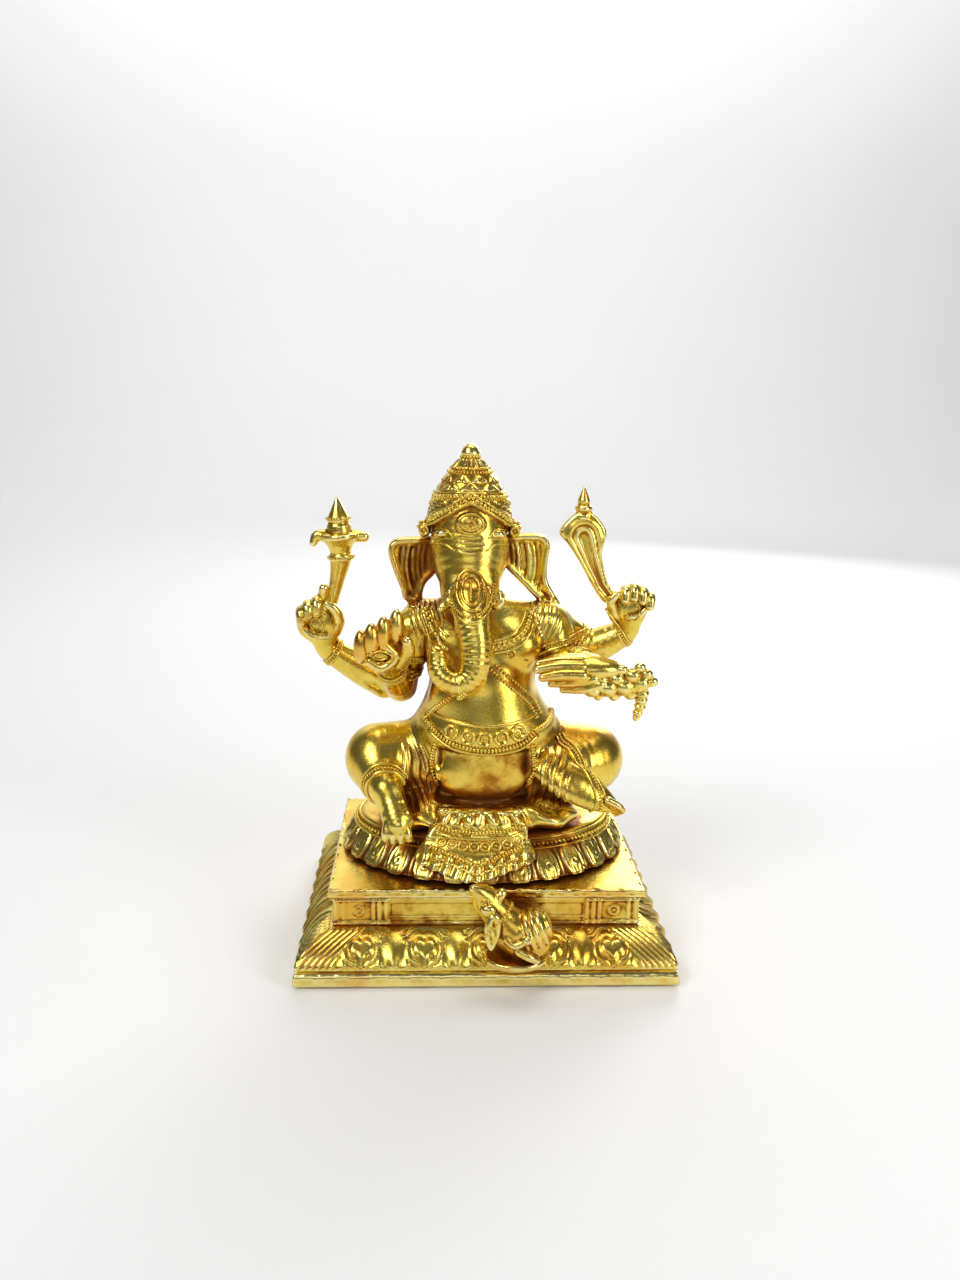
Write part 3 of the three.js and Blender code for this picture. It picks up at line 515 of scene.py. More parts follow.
def arm_forms():
    """The four arms with their hands."""
    f = arm("right_rear_arm")
    add = f.append
    f += fingers("right_rear_arm", [
        [(x, 1.2, z - 3, 1.65), (x, -0.4, z, 1.6), (x + 0.1, -3, z - 0.4, 1.5),
         (x + 0.2, -3.6, z - 2.6, 1.25)]
        for x, z in ((-50.4, 90.6), (-48.6, 92.2), (-46.2, 93.4))])
    f += fingers("right_rear_arm", [
        [(-44.2, 0.8, 90, 1.7), (-44.6, -0.4, 94, 1.5), (-44.3, -1.2, 97, 1.3)],
        [(-41.4, 1, 85, 1.7), (-40.3, -1.8, 88.4, 1.6), (-41.4, -2.8, 91.6, 1.35), (-43.2, -3.2, 93, 1.1)],
        [(-43.2, -3.4, 84.2, 0.9), (-47.6, -3.8, 84.6, 0.9), (-50.4, -2.6, 87.4, 0.8)]])
    f += arm("left_rear_arm")
    f += fingers("left_rear_arm", [
        [(x, 1.4, z - 3, 1.5), (x + 0.1, -0.6, z, 1.5), (x, -3, z - 0.2, 1.4), (x - 0.2, -3.8, z - 2.2, 1.2)]
        for x, z in ((37.4, 97.4), (39.8, 98), (42.2, 97.2), (44.2, 95.6))])
    f += fingers("left_rear_arm", [
        [(36.2, 0.6, 89.4, 1.6), (34.4, -1.8, 91.6, 1.5), (33.4, -2.8, 94.6, 1.3), (34.8, -3.2, 96.6, 1.1)],
        [(38.2, -3, 90.2, 0.8), (41.6, -3, 91, 0.8), (43.6, -2.2, 93.4, 0.8)]])
    f += arm("right_front_arm")
    f += fingers("right_front_arm", [
        [(-23, -16, 80.6, 2.1), (-21.2, -18.4, 84, 1.9), (-21.4, -19.8, 87, 1.4)],
        [(-31, -17.6, 81, 1.1), (-27.6, -18.6, 79.6, 1.2), (-24.4, -18.4, 82.6, 1.1),
         (-26.6, -18.8, 85.4, 0.9)]])
    add(ball("right_front_arm", (-28.2, -15.8, 85.4), (5.9, 2.7, 4.4), 1.5))
    for x, y, z in ((-24.2, -17.4, 90.4), (-27.5, -18, 88.6), (-30.6, -18, 86.8), (-33.3, -17.2, 84.8)):
        add(ball("right_front_arm", (x, y, z), (2.0, 2.2, 4.6), 0.35))
    f += arm("left_front_arm")
    f += fingers("left_front_arm", [
        [(24, y, z + 0.2, 1.6), (18.4, y - 0.8, z + 0.5, 1.5), (tip_x, y - 1, z - 0.2, 1.05)]
        for y, z, tip_x in ((-15, 81.2, 14.6), (-16.8, 81, 12.6), (-18.6, 80, 12.2), (-19.9, 78.2, 13.4))])
    f += fingers("left_front_arm", [
        [(27, -19.4, 77.4, 1.4), (21, -20.2, 76.5, 1.25), (15.8, -20.2, 76.2, 0.9)],
        [(29, -19, 75.8, 1.4), (24, -20.2, 74.8, 1.2), (19, -20, 74.6, 0.9)]])
    return f


def emblem_forms():
    """The goad, the noose and the sweets."""
    f = []
    add = f.append
    add(limb("goad", [(-42.7, 0.5, 91.8, 1.6), (-40.9, 0.5, 99, 2), (-39.7, 0.5, 105.2, 2.9)], 0.3))
    add(turned("goad", [(0, -0.6)] + GOAD_HEAD, (-39.7, 0.5, 105.2), (-0.06, 0, 1), 0.25))
    add(limb("goad", [(-43.6, 0.5, 111.1, 1.7), (-46, 0.3, 111, 1.5), (-47, 0, 109.2, 1.1)], 0.4))
    add(limb("goad", [(-36.4, 0.5, 111.1, 1.7), (-33.6, 0.5, 110.9, 1.5)], 0.4))
    line = [(NOOSE_FOOT[0] + x, NOOSE_FOOT[2] + z) for x, z in NOOSE]
    add(slab("noose", line, NOOSE_FOOT[1], 3.2, 0.3, noose_face))
    add(turned("noose", [(0, -1), (2.2, -1), (2.2, 0.2), (1.5, 0.6), (2.4, 1.4), (2.4, 2.2), (1.5, 2.8),
                         (1.7, 3.8), (0.3, 7.4), (0, 7.6)],
               (NOOSE_FOOT[0] - 8.8, NOOSE_FOOT[1], NOOSE_FOOT[2] + 23), blend=0.25))
    palm = ARMS["left_front_arm"][3]
    for x, z, r in ((-0.6, -5.0, 2.5), (3.6, -4.7, 2.7), (7.8, -4.4, 2.7), (12.2, -3.4, 2.5),
                    (1.6, -2.6, 2.0), (5.8, -2.3, 2.1), (10, -1.4, 2.2), (9.6, -6.4, 1.7), (5.4, -6.8, 1.6),
                    (13.6, -1.0, 1.7), (15.2, -3.0, 1.6), (7.2, 0.2, 1.5), (11.8, 0.9, 1.5),
                    (1.2, -7.0, 1.3)):
        add(ball("sweet_strand", tuple(np.add(palm, (x, -1.6, z))), (r, r * 0.9, r * 0.9), 0.3))
    add(limb("sweet_strand", moved(palm, (8, -1.6, -4.4, 1.9), (12, -1.4, -4.6, 1.8),
                                   (12.6, -1.2, -8.4, 1.4), (11.6, -1, -13, 0.9)), 0.3, 6,
             rib=(1.9, 0.45, 2, 30)))
    return f


def figure_forms():
    """Every form of the figure, in the order in which they blend."""
    return body_forms() + leg_forms() + lap_forms() + head_forms() + arm_forms() + emblem_forms()


def mouse_forms():
    """The mouse and the small plate that it sits on."""
    f = [turned("mouse_plate", [(0, -2.4), (6.2, -2.4), (7.8, -1.6), (8.2, -0.7), (7.9, 0), (0, 0)],
                MOUSE, blend=0.2)]
    plate = f[0].distance
    squeeze = np.array([1, 6.2 / 8.2, 1])
    f[0].distance = lambda p: plate((p - MOUSE) / squeeze + MOUSE) * 0.78
    add = f.append
    add(ball("mouse", MOUSE + (1.6, 0.3, 5.2), (7.2, 5.1, 6.2), 0.6, (0, 22, 0)))
    add(ball("mouse", MOUSE + (4.6, 0.2, 3.6), (4.0, 4.8, 3.8), 1.0))
    add(limb("mouse", moved(MOUSE, (-0.6, 0.4, 7, 4.8), (-4.8, 1.2, 11, 4.0), (-8, 1.6, 14.6, 3.4)), 1.2, 5))
    add(limb("mouse", moved(MOUSE, (-7.4, 1.2, 14.6, 3.3), (-9.6, 0.2, 17.2, 2.2), (-11.2, -0.6, 18.8, 1.0)),
             1.0))
    add(slab("mouse", [(MOUSE[0] + x, MOUSE[2] + z) for x, z in
                       ((-4.4, 12.2), (-4.2, 9), (-5, 6), (-6.6, 3.8), (-8, 6), (-8.4, 9.4), (-7.4, 12.4),
                        (-5.8, 13.4))],
             MOUSE[1] - 3.4, 2.4, 0.4,
             lambda x, z, d, front: 0.3 * np.cos(3.1 * (x + 0.3 * z)) * smoothstep(-0.2, -1, d)
             + 0.1 * ridge(d, 0.9), slant=(0.1, 0.16)))
    add(ball("mouse", MOUSE + (-4.6, 0.6, 15.8), (1.5, 1.6, 2.6), 0.35, (0, 30, 0)))
    add(ball("mouse", MOUSE + (-7.4, -2.4, 13.6), (1.9, 1.2, 1.6), 0.35))
    saddle = ball("mouse", MOUSE + (3.8, -0.5, 7), (5.4, 5.1, 5.8), 0.25, (0, 22, 0))
    plain = saddle.distance
    saddle.distance = lambda p: plain(p) - 0.2 * np.cos(3.3 * (p[:, 0] + 0.4 * p[:, 2]))
    add(saddle)
    add(limb("mouse", moved(MOUSE, (-2.6, -3.2, 6.4, 1.3), (-0.8, -4.6, 5.2, 1.1), (1.6, -4.9, 6.2, 0.9)),
             0.4))
    add(limb("mouse", moved(MOUSE, (0.6, -4, 3.2, 1.4), (2.8, -4.9, 2.2, 1.2), (4.8, -4.6, 1.0, 1.0)), 0.4))
    add(ball("mouse", MOUSE + (2.4, -5, 6.9), (1.3, 1.2, 1.2), 0.3))
    add(limb("mouse", moved(MOUSE, (6.2, 0, 2.2, 1.6), (7.2, -1.4, 5.6, 1.1), (6.4, -2.2, 8.6, 0.8)), 0.5))
    return f


# ------------------------------------------------------------------ reliefs


class Relief:
    """Something chased into the surface: its height in mm and the box that holds it."""

    def __init__(self, low, high, height):
        self.low, self.high, self.height = np.array(low, float), np.array(high, float), height


def groove(path, half_width, height):
    """Rounded line along a path; a negative height cuts it in."""
    path = np.array(path, float)
    a, b = path[:-1], path[1:]

    def shift(p):
        square, _ = to_segments(p, a, b)
        return height * ridge(np.sqrt(square.min(1)), half_width)

    return Relief(path.min(0) - half_width, path.max(0) + half_width, shift)


def belly_panel(p):
    """The smooth sunk panel under the belt."""
    x, z = p[:, 0] + 1, p[:, 2]
    inside = smoothstep(13.2, 11.2, np.abs(x)) * smoothstep(40.5, 43, z) * smoothstep(57.6, 55.8, z)
    return -1.1 * inside * (p[:, 1] < -8)


def hip_folds(p):
    """Folds of the waist cloth beside the panel, and of the cloth that lies on the seat."""
    x, z = p[:, 0] + 1, p[:, 2]
    a = np.abs(x)
    upper = smoothstep(13.4, 14.6, a) * smoothstep(24, 21, a) * smoothstep(58, 54, z) * smoothstep(38, 41, z)
    lower = smoothstep(42.5, 40, z) * (p[:, 1] < -4) * smoothstep(30, 26, a)
    fan = np.cos(9 * np.arctan2(x, -(p[:, 1] + 2)) * 2.2 + 0.9 * z)
    bend = a - 0.3 * (z - 46) + 0.8 * np.sin(0.45 * z + x * 0.2)
    drape = 0.16 * np.cos(2.6 * bend) + 0.09 * np.cos(6.1 * bend)
    return upper * drape * (p[:, 1] < 0) + 0.3 * lower * fan


def folds_on_shoulders(p):
    """Thin cloth ends that lie over both shoulders."""
    x, z = np.abs(p[:, 0] + 0.4), p[:, 2]
    band = smoothstep(11, 12.4, x) * smoothstep(21, 19.5, x) * smoothstep(84.5, 86.5, z)
    return 0.13 * band * np.cos(4.2 * (x - 0.35 * z)) * (p[:, 1] < 2)


# ------------------------------------------------------------------ the lattice


def blended(whole, d, blend):
    """The nearer of two distances, rounded where they meet."""
    gap = np.maximum(blend - np.abs(whole - d), 0) / blend
    return np.minimum(whole, d) - gap * gap * blend / 4


def near_forms(near, half):
    """Which forms can matter in a block, from their distances to its centre."""
    return np.nonzero(near < max(near.min(), 0) + 2.3 * half + 6)[0]


class Clay:
    """Forms and reliefs together: one smooth body, which can be parted into castings."""

    def __init__(self, forms):
        self.forms, self.reliefs = forms, []
        self.parts = []
        for form in forms:
            if form.part not in self.parts:
                self.parts.append(form.part)
        self.whose = np.array([self.parts.index(form.part) for form in forms])

    def field(self, p, chosen=None):
        """Whole body's distance at points, and each casting's own."""
        whole = np.full(len(p), 50.0)
        own = {}
        for i in (range(len(self.forms)) if chosen is None else chosen):
            form = self.forms[i]
            d = form.distance(p)
            part = self.whose[i]
            own[part] = np.minimum(own[part], d) if part in own else d
            whole = blended(whole, d, form.blend)
        return whole, own

    def relieve(self, p, whole):
        whole = whole.copy()
        low, high = p.min(0), p.max(0)
        for relief in self.reliefs:
            if (relief.low < high).all() and (relief.high > low).all():
                pick = ((p > relief.low) & (p < relief.high)).all(1)
                if pick.any():
                    whole[pick] -= relief.height(p[pick])
        return whole

    def settle(self, points, faces, pitch):
        """Draws a skin onto the body's true surface, out to the edges of its joints."""
        for _ in range(2):
            d = self.near(points)
            push = np.where(np.abs(d) < 0.8 * pitch, np.clip(d, -0.5 * pitch, 0.5 * pitch), 0)
            points = points - 0.9 * push[:, None] * vertex_normals(points, faces)
        return points

    def near(self, p, margin=3.0):
        """Distance at scattered points, leaving out forms that are too far to matter."""
        whole = np.full(len(p), 50.0)
        for form in self.forms:
            pick = ((p > form.low - margin) & (p < form.high + margin)).all(1)
            if not pick.any():
                continue
            whole[pick] = blended(whole[pick], form.distance(p[pick]), form.blend)
        return self.relieve(p, whole)

    def normal(self, p):
        step = 0.15
        g = np.stack([self.near(p + step * axis) - self.near(p - step * axis)
                      for axis in np.eye(3)], 1)
        return unit(g + 1e-9)

    def blocks(self, pitch):
        """The lattice's blocks, their size, and each form's distance from their centres."""
        low = np.min([form.low for form in self.forms], 0) - 2
        high = np.max([form.high for form in self.forms], 0) + 2
        size = BLOCK * pitch
        first = np.floor(low / size).astype(int)
        last = np.floor(high / size).astype(int)
        grid = np.stack(np.meshgrid(*[np.arange(a, b + 1) for a, b in zip(first, last)],
                                    indexing="ij"), -1).reshape(-1, 3)
        near = np.stack([form.distance((grid + 0.5) * size) for form in self.forms], 1)
        return grid, size, near

    def parted(self, pitch, wanted):
        """Lattice samples of each wanted casting: {part: (blocks, samples)}."""
        grid, size, near = self.blocks(pitch)
        half = size * math.sqrt(3) / 2
        lowest = near.min(1)
        mine = [np.array([self.parts[w] == name for w in self.whose]) for name in wanted]
        steps = np.arange(BLOCK + 1) * pitch
        local = np.stack(np.meshgrid(steps, steps, steps, indexing="ij"), -1).reshape(-1, 3)
        out = {name: ([], []) for name in wanted}
        for b in np.nonzero((lowest < half + 3.2) & (lowest > -half * 1.5 - 3))[0]:
            if min(near[b, m].min() for m in mine) > half * 1.25 + 3.2:
                continue
            p = local + grid[b] * size
            whole, own = self.field(p, near_forms(near[b], half))
            whole = self.relieve(p, whole)
            if whole.min() > 0 or whole.max() < -pitch * 30:
                continue
            for name in wanted:
                w = self.parts.index(name)
                if w not in own:
                    continue
                rest = [d for part, d in own.items() if part != w]
                f = whole
                if rest:
                    f = np.maximum(whole, (own[w] - np.minimum.reduce(rest)) / 2 + JOINT)
                if f.min() < 0 < f.max():
                    out[name][0].append(grid[b])
                    out[name][1].append(f.astype(np.float32))
        return {name: (np.array(g), np.array(s).reshape(-1, BLOCK + 1, BLOCK + 1, BLOCK + 1))
                for name, (g, s) in out.items()}


EDGES = [((0, 0, 0), (1, 0, 0)), ((0, 1, 0), (1, 1, 0)), ((0, 0, 1), (1, 0, 1)), ((0, 1, 1), (1, 1, 1)),
         ((0, 0, 0), (0, 1, 0)), ((1, 0, 0), (1, 1, 0)), ((0, 0, 1), (0, 1, 1)), ((1, 0, 1), (1, 1, 1)),
         ((0, 0, 0), (0, 0, 1)), ((1, 0, 0), (1, 0, 1)), ((0, 1, 0), (0, 1, 1)), ((1, 1, 0), (1, 1, 1))]


def skin(blocks, samples, pitch):
    """Closed skin of quads through the samples' zero level: vertices (mm) and faces."""
    inside = samples < 0
    n = BLOCK
    count = sum(inside[:, x:n + x, y:n + y, z:n + z].astype(np.int8)
                for x in (0, 1) for y in (0, 1) for z in (0, 1))
    b, i, j, k = np.nonzero((count > 0) & (count < 8))
    corner = {(x, y, z): samples[b, i + x, j + y, k + z].astype(float)
              for x in (0, 1) for y in (0, 1) for z in (0, 1)}
    where, hits = np.zeros((len(b), 3)), np.zeros(len(b))
    for one, two in EDGES:
        v1, v2 = corner[one], corner[two]
        crossing = (v1 < 0) != (v2 < 0)
        t = np.where(crossing, v1 / np.where(crossing, v1 - v2, 1), 0)
        a, c = np.array(one, float), np.array(two, float)
        where += crossing[:, None] * (a + (c - a) * t[:, None])
        hits += crossing
    cell = blocks[b] * n + np.stack([i, j, k], 1)
    points = (cell + where / hits[:, None]) * pitch
    code = lambda c: ((c[:, 0] + 4000) * 8192 + c[:, 1] + 4000) * 8192 + c[:, 2] + 4000
    keys = code(cell)
    order = np.argsort(keys)
    ranked = keys[order]
    faces = []
    for axis in range(3):
        ahead = [slice(0, n)] * 3
        ahead[axis] = slice(1, n + 1)
        here = inside[:, :n, :n, :n]
        there = inside[:, ahead[0], ahead[1], ahead[2]]
        b, i, j, k = np.nonzero(here != there)
        flip = ~here[b, i, j, k]
        at = blocks[b] * n + np.stack([i, j, k], 1)
        u, v = np.eye(3, dtype=int)[(axis + 1) % 3], np.eye(3, dtype=int)[(axis + 2) % 3]
        quad, sound = [], np.ones(len(at), bool)
        for step in (0 * u, u, u + v, v):
            wanted = code(at - step)
            found = np.clip(np.searchsorted(ranked, wanted), 0, len(ranked) - 1)
            sound &= ranked[found] == wanted
            quad.append(order[found])
        quad = np.stack(quad, 1)
        quad[flip] = quad[flip][:, ::-1]
        faces.append(quad[sound])
    return points, np.vstack(faces)


def vertex_normals(points, faces):
    """Normal at every vertex of a mesh of quads."""
    a, b, c, d = (points[faces[:, i]] for i in range(4))
    face = np.cross(c - a, d - b)
    total = np.zeros_like(points)
    for i in range(4):
        for axis in range(3):
            total[:, axis] += np.bincount(faces[:, i], face[:, axis], len(points))
    return unit(total + 1e-12)


def neighbour_mean(values, faces):
    """Each vertex's mean over the vertices joined to it."""
    a = faces.reshape(-1)
    b = np.roll(faces, -1, 1).reshape(-1)
    one, two = np.concatenate([a, b]), np.concatenate([b, a])
    times = np.maximum(np.bincount(one, minlength=len(values)), 1)
    if values.ndim == 1:
        return np.bincount(one, values[two], len(values)) / times
    return np.stack([np.bincount(one, values[two, i], len(values)) for i in range(3)], 1) / times[:, None]


def fine_hollow(points, faces, scale):
    """How hollow the skin is at each vertex, about -1 on a crest to 1 in a groove."""
    normals = vertex_normals(points, faces)
    middle = points
    for _ in range(3):
        middle = neighbour_mean(middle, faces)
    bend = ((middle - points) * normals).sum(1) / scale
    bend = 0.5 * bend + 0.5 * neighbour_mean(bend, faces)
    return np.clip(bend, -1.5, 1.5)


class Surroundings:
    """Coarse blurred map of where there is metal, for how enclosed a spot is."""

    def __init__(self, step=1.0):
        self.step = step
        self.low = np.array([-56.0, -50, -4])
        shape = np.ceil((np.array([56.0, 46, 142]) - self.low) / step).astype(int)
        axes = [self.low[i] + step * np.arange(shape[i]) for i in range(3)]
        x, y, z = np.meshgrid(*axes, indexing="ij")
        full = np.zeros(x.shape, bool)
        for inset, top in ((np.clip(z - 4, 0, 9), 21), (PLATE_INSET, PLATE_TOP)):
            full |= (np.abs(x) < PLINTH_X - inset) & (np.abs(y) < PLINTH_Y - inset) & (z < top)
        skirt = np.clip((z - 25) * 0.5, 0, 4.6)
        full |= ((x / (39.6 - skirt)) ** 2 + (y / (29 - skirt)) ** 2 < 1) & (z < SEAT_TOP)
        solid = full.astype(np.float32)
        for clay in (FIGURE, MOUSE_CLAY):
            grid, size, near = clay.blocks(step)
            half = size * math.sqrt(3) / 2
            local = np.stack(np.meshgrid(*[np.arange(BLOCK)] * 3, indexing="ij"), -1).reshape(-1, 3)
            for b in np.nonzero(near.min(1) < half + 1)[0]:
                cells = local + grid[b] * BLOCK
                whole, _ = clay.field(cells * step, near_forms(near[b], half))
                at = np.round((cells * step - self.low) / step).astype(int)
                ok = ((at >= 0) & (at < shape)).all(1) & (whole < 0)
                solid[tuple(at[ok].T)] = 1
        self.narrow = self.blur(solid, 2)
        self.wide = self.blur(solid, 5)

    @staticmethod
    def blur(values, reach):
        for _ in range(2):
            for axis in range(3):
                pad = [(0, 0)] * 3
                pad[axis] = (reach + 1, reach)
                total = np.cumsum(np.pad(values, pad), axis, dtype=np.float64)
                size = values.shape[axis]
                take = lambda start: np.take(total, np.arange(start, start + size), axis)
                values = (take(2 * reach + 1) - take(0)) / (2 * reach + 1)
        return values.astype(np.float32)

    def sample(self, values, p):
        q = np.clip((p - self.low) / self.step, 0, np.array(values.shape) - 1.001)
        i = q.astype(int)
        f = q - i
        total = 0
        for x in (0, 1):
            for y in (0, 1):
                for z in (0, 1):
                    w = (np.where(x, f[:, 0], 1 - f[:, 0]) * np.where(y, f[:, 1], 1 - f[:, 1])
                         * np.where(z, f[:, 2], 1 - f[:, 2]))
                    total = total + w * values[i[:, 0] + x, i[:, 1] + y, i[:, 2] + z]
        return total

    def enclosed(self, p, normals):
        """0 in the open to about 1 in a deep corner."""
        a = self.sample(self.narrow, p + 1.6 * normals)
        b = self.sample(self.wide, p + 3.0 * normals)
        return np.clip(1.9 * (a - 0.16), 0, 1) * 0.6 + np.clip(1.9 * (b - 0.2), 0, 1) * 0.5


# ------------------------------------------------------------------ geometry nodes


class Tree:
    """A node tree under construction, with its nodes made and joined in one call."""

    def __init__(self, name, kind):
        self.tree = bpy.data.node_groups.new(name, kind)
        self.inputs = {}

    def socket(self, name, kind, default=None, out=False):
        s = self.tree.interface.new_socket(name=name, in_out="OUTPUT" if out else "INPUT",
                                           socket_type=kind)
        if default is not None:
            s.default_value = default
        if not out:
            self.inputs[name] = s.identifier
        return s

    def node(self, kind, settings=None, **sockets):
        node = self.tree.nodes.new(kind)
        for key, value in (settings or {}).items():
            setattr(node, key, value)
        for key, value in sockets.items():
            self.join(value, node.inputs[key.replace("_", " ")])
        return node

    def join(self, value, socket):
        if isinstance(value, bpy.types.NodeSocket):
            self.tree.links.new(value, socket)
        else:
            socket.default_value = value


def started(name, made, inputs):
    """A tree with its inputs {name: (kind, default)} and its output, and where the inputs arrive."""
    t = Tree(name, "GeometryNodeTree")
    for socket, (kind, default) in inputs.items():
        t.socket(socket, "NodeSocket" + kind, default)
    t.socket(made, "NodeSocketGeometry", out=True)
    return t, t.node("NodeGroupInput").outputs


def strand_tree():
    """Beads strung along every path, each one turned to the path and squeezed along it."""
    t, start = started("Beads along paths", "Beads", {
        "Paths": ("Geometry", None), "Spacing": ("Float", 0.001), "Radius": ("Float", 0.0005),
        "Squeeze": ("Float", 1.0), "Metal": ("Material", None)})
    curve = t.node("GeometryNodeMeshToCurve", Mesh=start["Paths"])
    dots = t.node("GeometryNodeCurveToPoints", {"mode": "LENGTH"}, Curve=curve.outputs[0],
                  Length=start["Spacing"])
    bead = t.node("GeometryNodeMeshUVSphere", Segments=7, Rings=5, Radius=1.0)
    across = t.node("ShaderNodeMath", {"operation": "MULTIPLY"})
    t.join(start["Radius"], across.inputs[0])
    t.join(start["Squeeze"], across.inputs[1])
    size = t.node("ShaderNodeCombineXYZ", X=start["Radius"], Y=start["Radius"], Z=across.outputs[0])
    strung = t.node("GeometryNodeInstanceOnPoints", Points=dots.outputs["Points"],
                    Instance=bead.outputs["Mesh"], Rotation=dots.outputs["Rotation"],
                    Scale=size.outputs[0])
    finish_tree(t, strung.outputs["Instances"], start["Metal"])
    return t


def wire_tree():
    """Round wire soldered along every path."""
    t, start = started("Wire along paths", "Wires", {
        "Paths": ("Geometry", None), "Radius": ("Float", 0.0005), "Metal": ("Material", None)})
    curve = t.node("GeometryNodeMeshToCurve", Mesh=start["Paths"])
    circle = t.node("GeometryNodeCurvePrimitiveCircle", {"mode": "RADIUS"}, Resolution=7,
                    Radius=start["Radius"])
    pipe = t.node("GeometryNodeCurveToMesh", Curve=curve.outputs[0],
                  Profile_Curve=circle.outputs["Curve"], Fill_Caps=True)
    finish_tree(t, pipe.outputs["Mesh"], start["Metal"])
    return t


def repeat_tree():
    """One small casting repeated at every point, turned and sized by the point's own values."""
    t, start = started("Casting at points", "Castings", {
        "Points": ("Geometry", None), "Casting": ("Object", None), "Metal": ("Material", None)})
    info = t.node("GeometryNodeObjectInfo", {"transform_space": "ORIGINAL"}, Object=start["Casting"])
    turn = t.node("GeometryNodeInputNamedAttribute", {"data_type": "FLOAT_VECTOR"}, Name="turn")
    size = t.node("GeometryNodeInputNamedAttribute", {"data_type": "FLOAT_VECTOR"}, Name="size")
    placed = t.node("GeometryNodeInstanceOnPoints", Points=start["Points"],
                    Instance=info.outputs["Geometry"], Rotation=turn.outputs[0],
                    Scale=size.outputs[0])
    finish_tree(t, placed.outputs["Instances"], start["Metal"])
    return t


def finish_tree(t, geometry, metal):
    """Ends a tree with smooth shading and the metal."""
    smooth = t.node("GeometryNodeSetShadeSmooth", Geometry=geometry)
    real = t.node("GeometryNodeRealizeInstances", Geometry=smooth.outputs[0])
    done = t.node("GeometryNodeSetMaterial", Geometry=real.outputs[0], Material=metal)
    end = t.node("NodeGroupOutput")
    t.join(done.outputs[0], end.inputs[0])


def run_tree(t, mesh, values):
    """Evaluates a tree on a mesh and gives the result's vertices (m) and faces."""
    holder = bpy.data.objects.new("holder", mesh)
    bpy.context.scene.collection.objects.link(holder)
    modifier = holder.modifiers.new("made", "NODES")
    modifier.node_group = t.tree
    for name, value in values.items():
        modifier[t.inputs[name]] = value
    evaluated = holder.evaluated_get(bpy.context.evaluated_depsgraph_get())
    made = bpy.data.meshes.new_from_object(evaluated)
    holder.modifiers.remove(modifier)
    points = np.zeros(len(made.vertices) * 3)
    made.vertices.foreach_get("co", points)
    sides = np.zeros(len(made.polygons), int)
    made.polygons.foreach_get("loop_total", sides)
    corners = np.zeros(len(made.loops), int)
    made.loops.foreach_get("vertex_index", corners)
    bpy.data.objects.remove(holder)
    bpy.data.meshes.remove(made)
    return points.reshape(-1, 3), corners, sides


def path_mesh(paths):
    """Paths in mm as one mesh of edges in metres."""
    points, edges, base = [], [], 0
    for path in paths:
        path = np.array(path, float)
        points.append(path)
        edges += [(base + i, base + i + 1) for i in range(len(path) - 1)]
        base += len(path)
    mesh = bpy.data.meshes.new("paths")
    mesh.from_pydata(((np.vstack(points) + PLACE) * MM).tolist(), edges, [])
    return mesh


# Extra browning of single castings, added to the tarnish and painted shade of their corners.
BROWNED = {"right_ear_casting": 0.42, "left_ear_casting": 0.1, "mouse_casting": 0.28,
           "apron_panel_casting": 0.08, "dado_casting": 0.1, "lotus_seat_casting": 0.1,
           "torso_casting": 0.08, "right_leg_casting": 0.05, "left_leg_casting": 0.05}


class Casting:
    """Collects the meshes of one piece and turns them into one object."""

    def __init__(self, name):
        self.name = name
        self.points, self.corners, self.sides, self.hollow, self.closed = [], [], [], [], []
        self.count = 0

    def add(self, points, corners, sides, hollow, enclosed):
        self.points.append(points)
        self.corners.append(np.asarray(corners).reshape(-1) + self.count)
        self.sides.append(np.asarray(sides))
        self.hollow.append(hollow)
        self.closed.append(enclosed)
        self.count += len(points)

    def add_quads(self, points, faces, scale=0.11, rounds=1, shelter=1.0, lines=1.0):
        """A skin in mm; shelter and lines scale the tarnish and painted shade of its corners and grooves."""
        for _ in range(rounds):
            points = points + 0.15 * (neighbour_mean(points, faces) - points)
        normals = vertex_normals(points, faces)
        # The enclosed value paints shade: in corners, from the blurred metal around, and under faces that
        # turn downwards; BROWNED adds each casting's extra browning.
        self.add(points, faces, np.full(len(faces), 4), lines * fine_hollow(points, faces, scale),
                 shelter * around().enclosed(points, normals) + 0.16 * np.clip(-normals[:, 2], 0, 1)
                 + BROWNED.get(self.name, 0))

    def add_ornament(self, made, clay=None, deep=0.45):
        """Something small on the surface, with painted shade where it meets the body."""
        points, corners, sides = made
        points = points / MM - PLACE
        if clay is None:
            hollow = np.zeros(len(points))
        else:
            away = clay.near(points)
            # Painted shade where the ornament meets the body; further out the negative value lightens it as a
            # crest.
            hollow = 1.2 * smoothstep(deep, 0.02, away) - 0.35
        normals = np.zeros_like(points)
        normals[:, 1] = -1
        self.add(points, corners, sides, hollow, around().enclosed(points, normals))

    def finish(self, node):
        """Makes the object and lets it stand for its CAD node."""
        points = (np.vstack(self.points) + PLACE) * MM
        corners, sides = np.concatenate(self.corners), np.concatenate(self.sides)
        mesh = bpy.data.meshes.new(self.name)
        mesh.vertices.add(len(points))
        mesh.vertices.foreach_set("co", points.ravel())
        mesh.loops.add(len(corners))
        mesh.loops.foreach_set("vertex_index", corners.astype(np.int32))
        mesh.polygons.add(len(sides))
        mesh.polygons.foreach_set("loop_start", (np.cumsum(sides) - sides).astype(np.int32))
        mesh.polygons.foreach_set("use_smooth", np.ones(len(sides), bool))
        mesh.update(calc_edges=True)
        mesh.validate()
        for name, values in (("hollow", self.hollow), ("enclosed", self.closed)):
            attribute = mesh.attributes.new(name, "FLOAT", "POINT")
            attribute.data.foreach_set("value", np.concatenate(values).astype(np.float32))
        piece = bpy.data.objects.new(self.name, mesh)
        bpy.context.scene.collection.objects.link(piece)
        mesh.materials.append(gold_plate())
        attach(piece, "root")
        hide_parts(node)
        return piece


# ------------------------------------------------------------------ laying ornaments


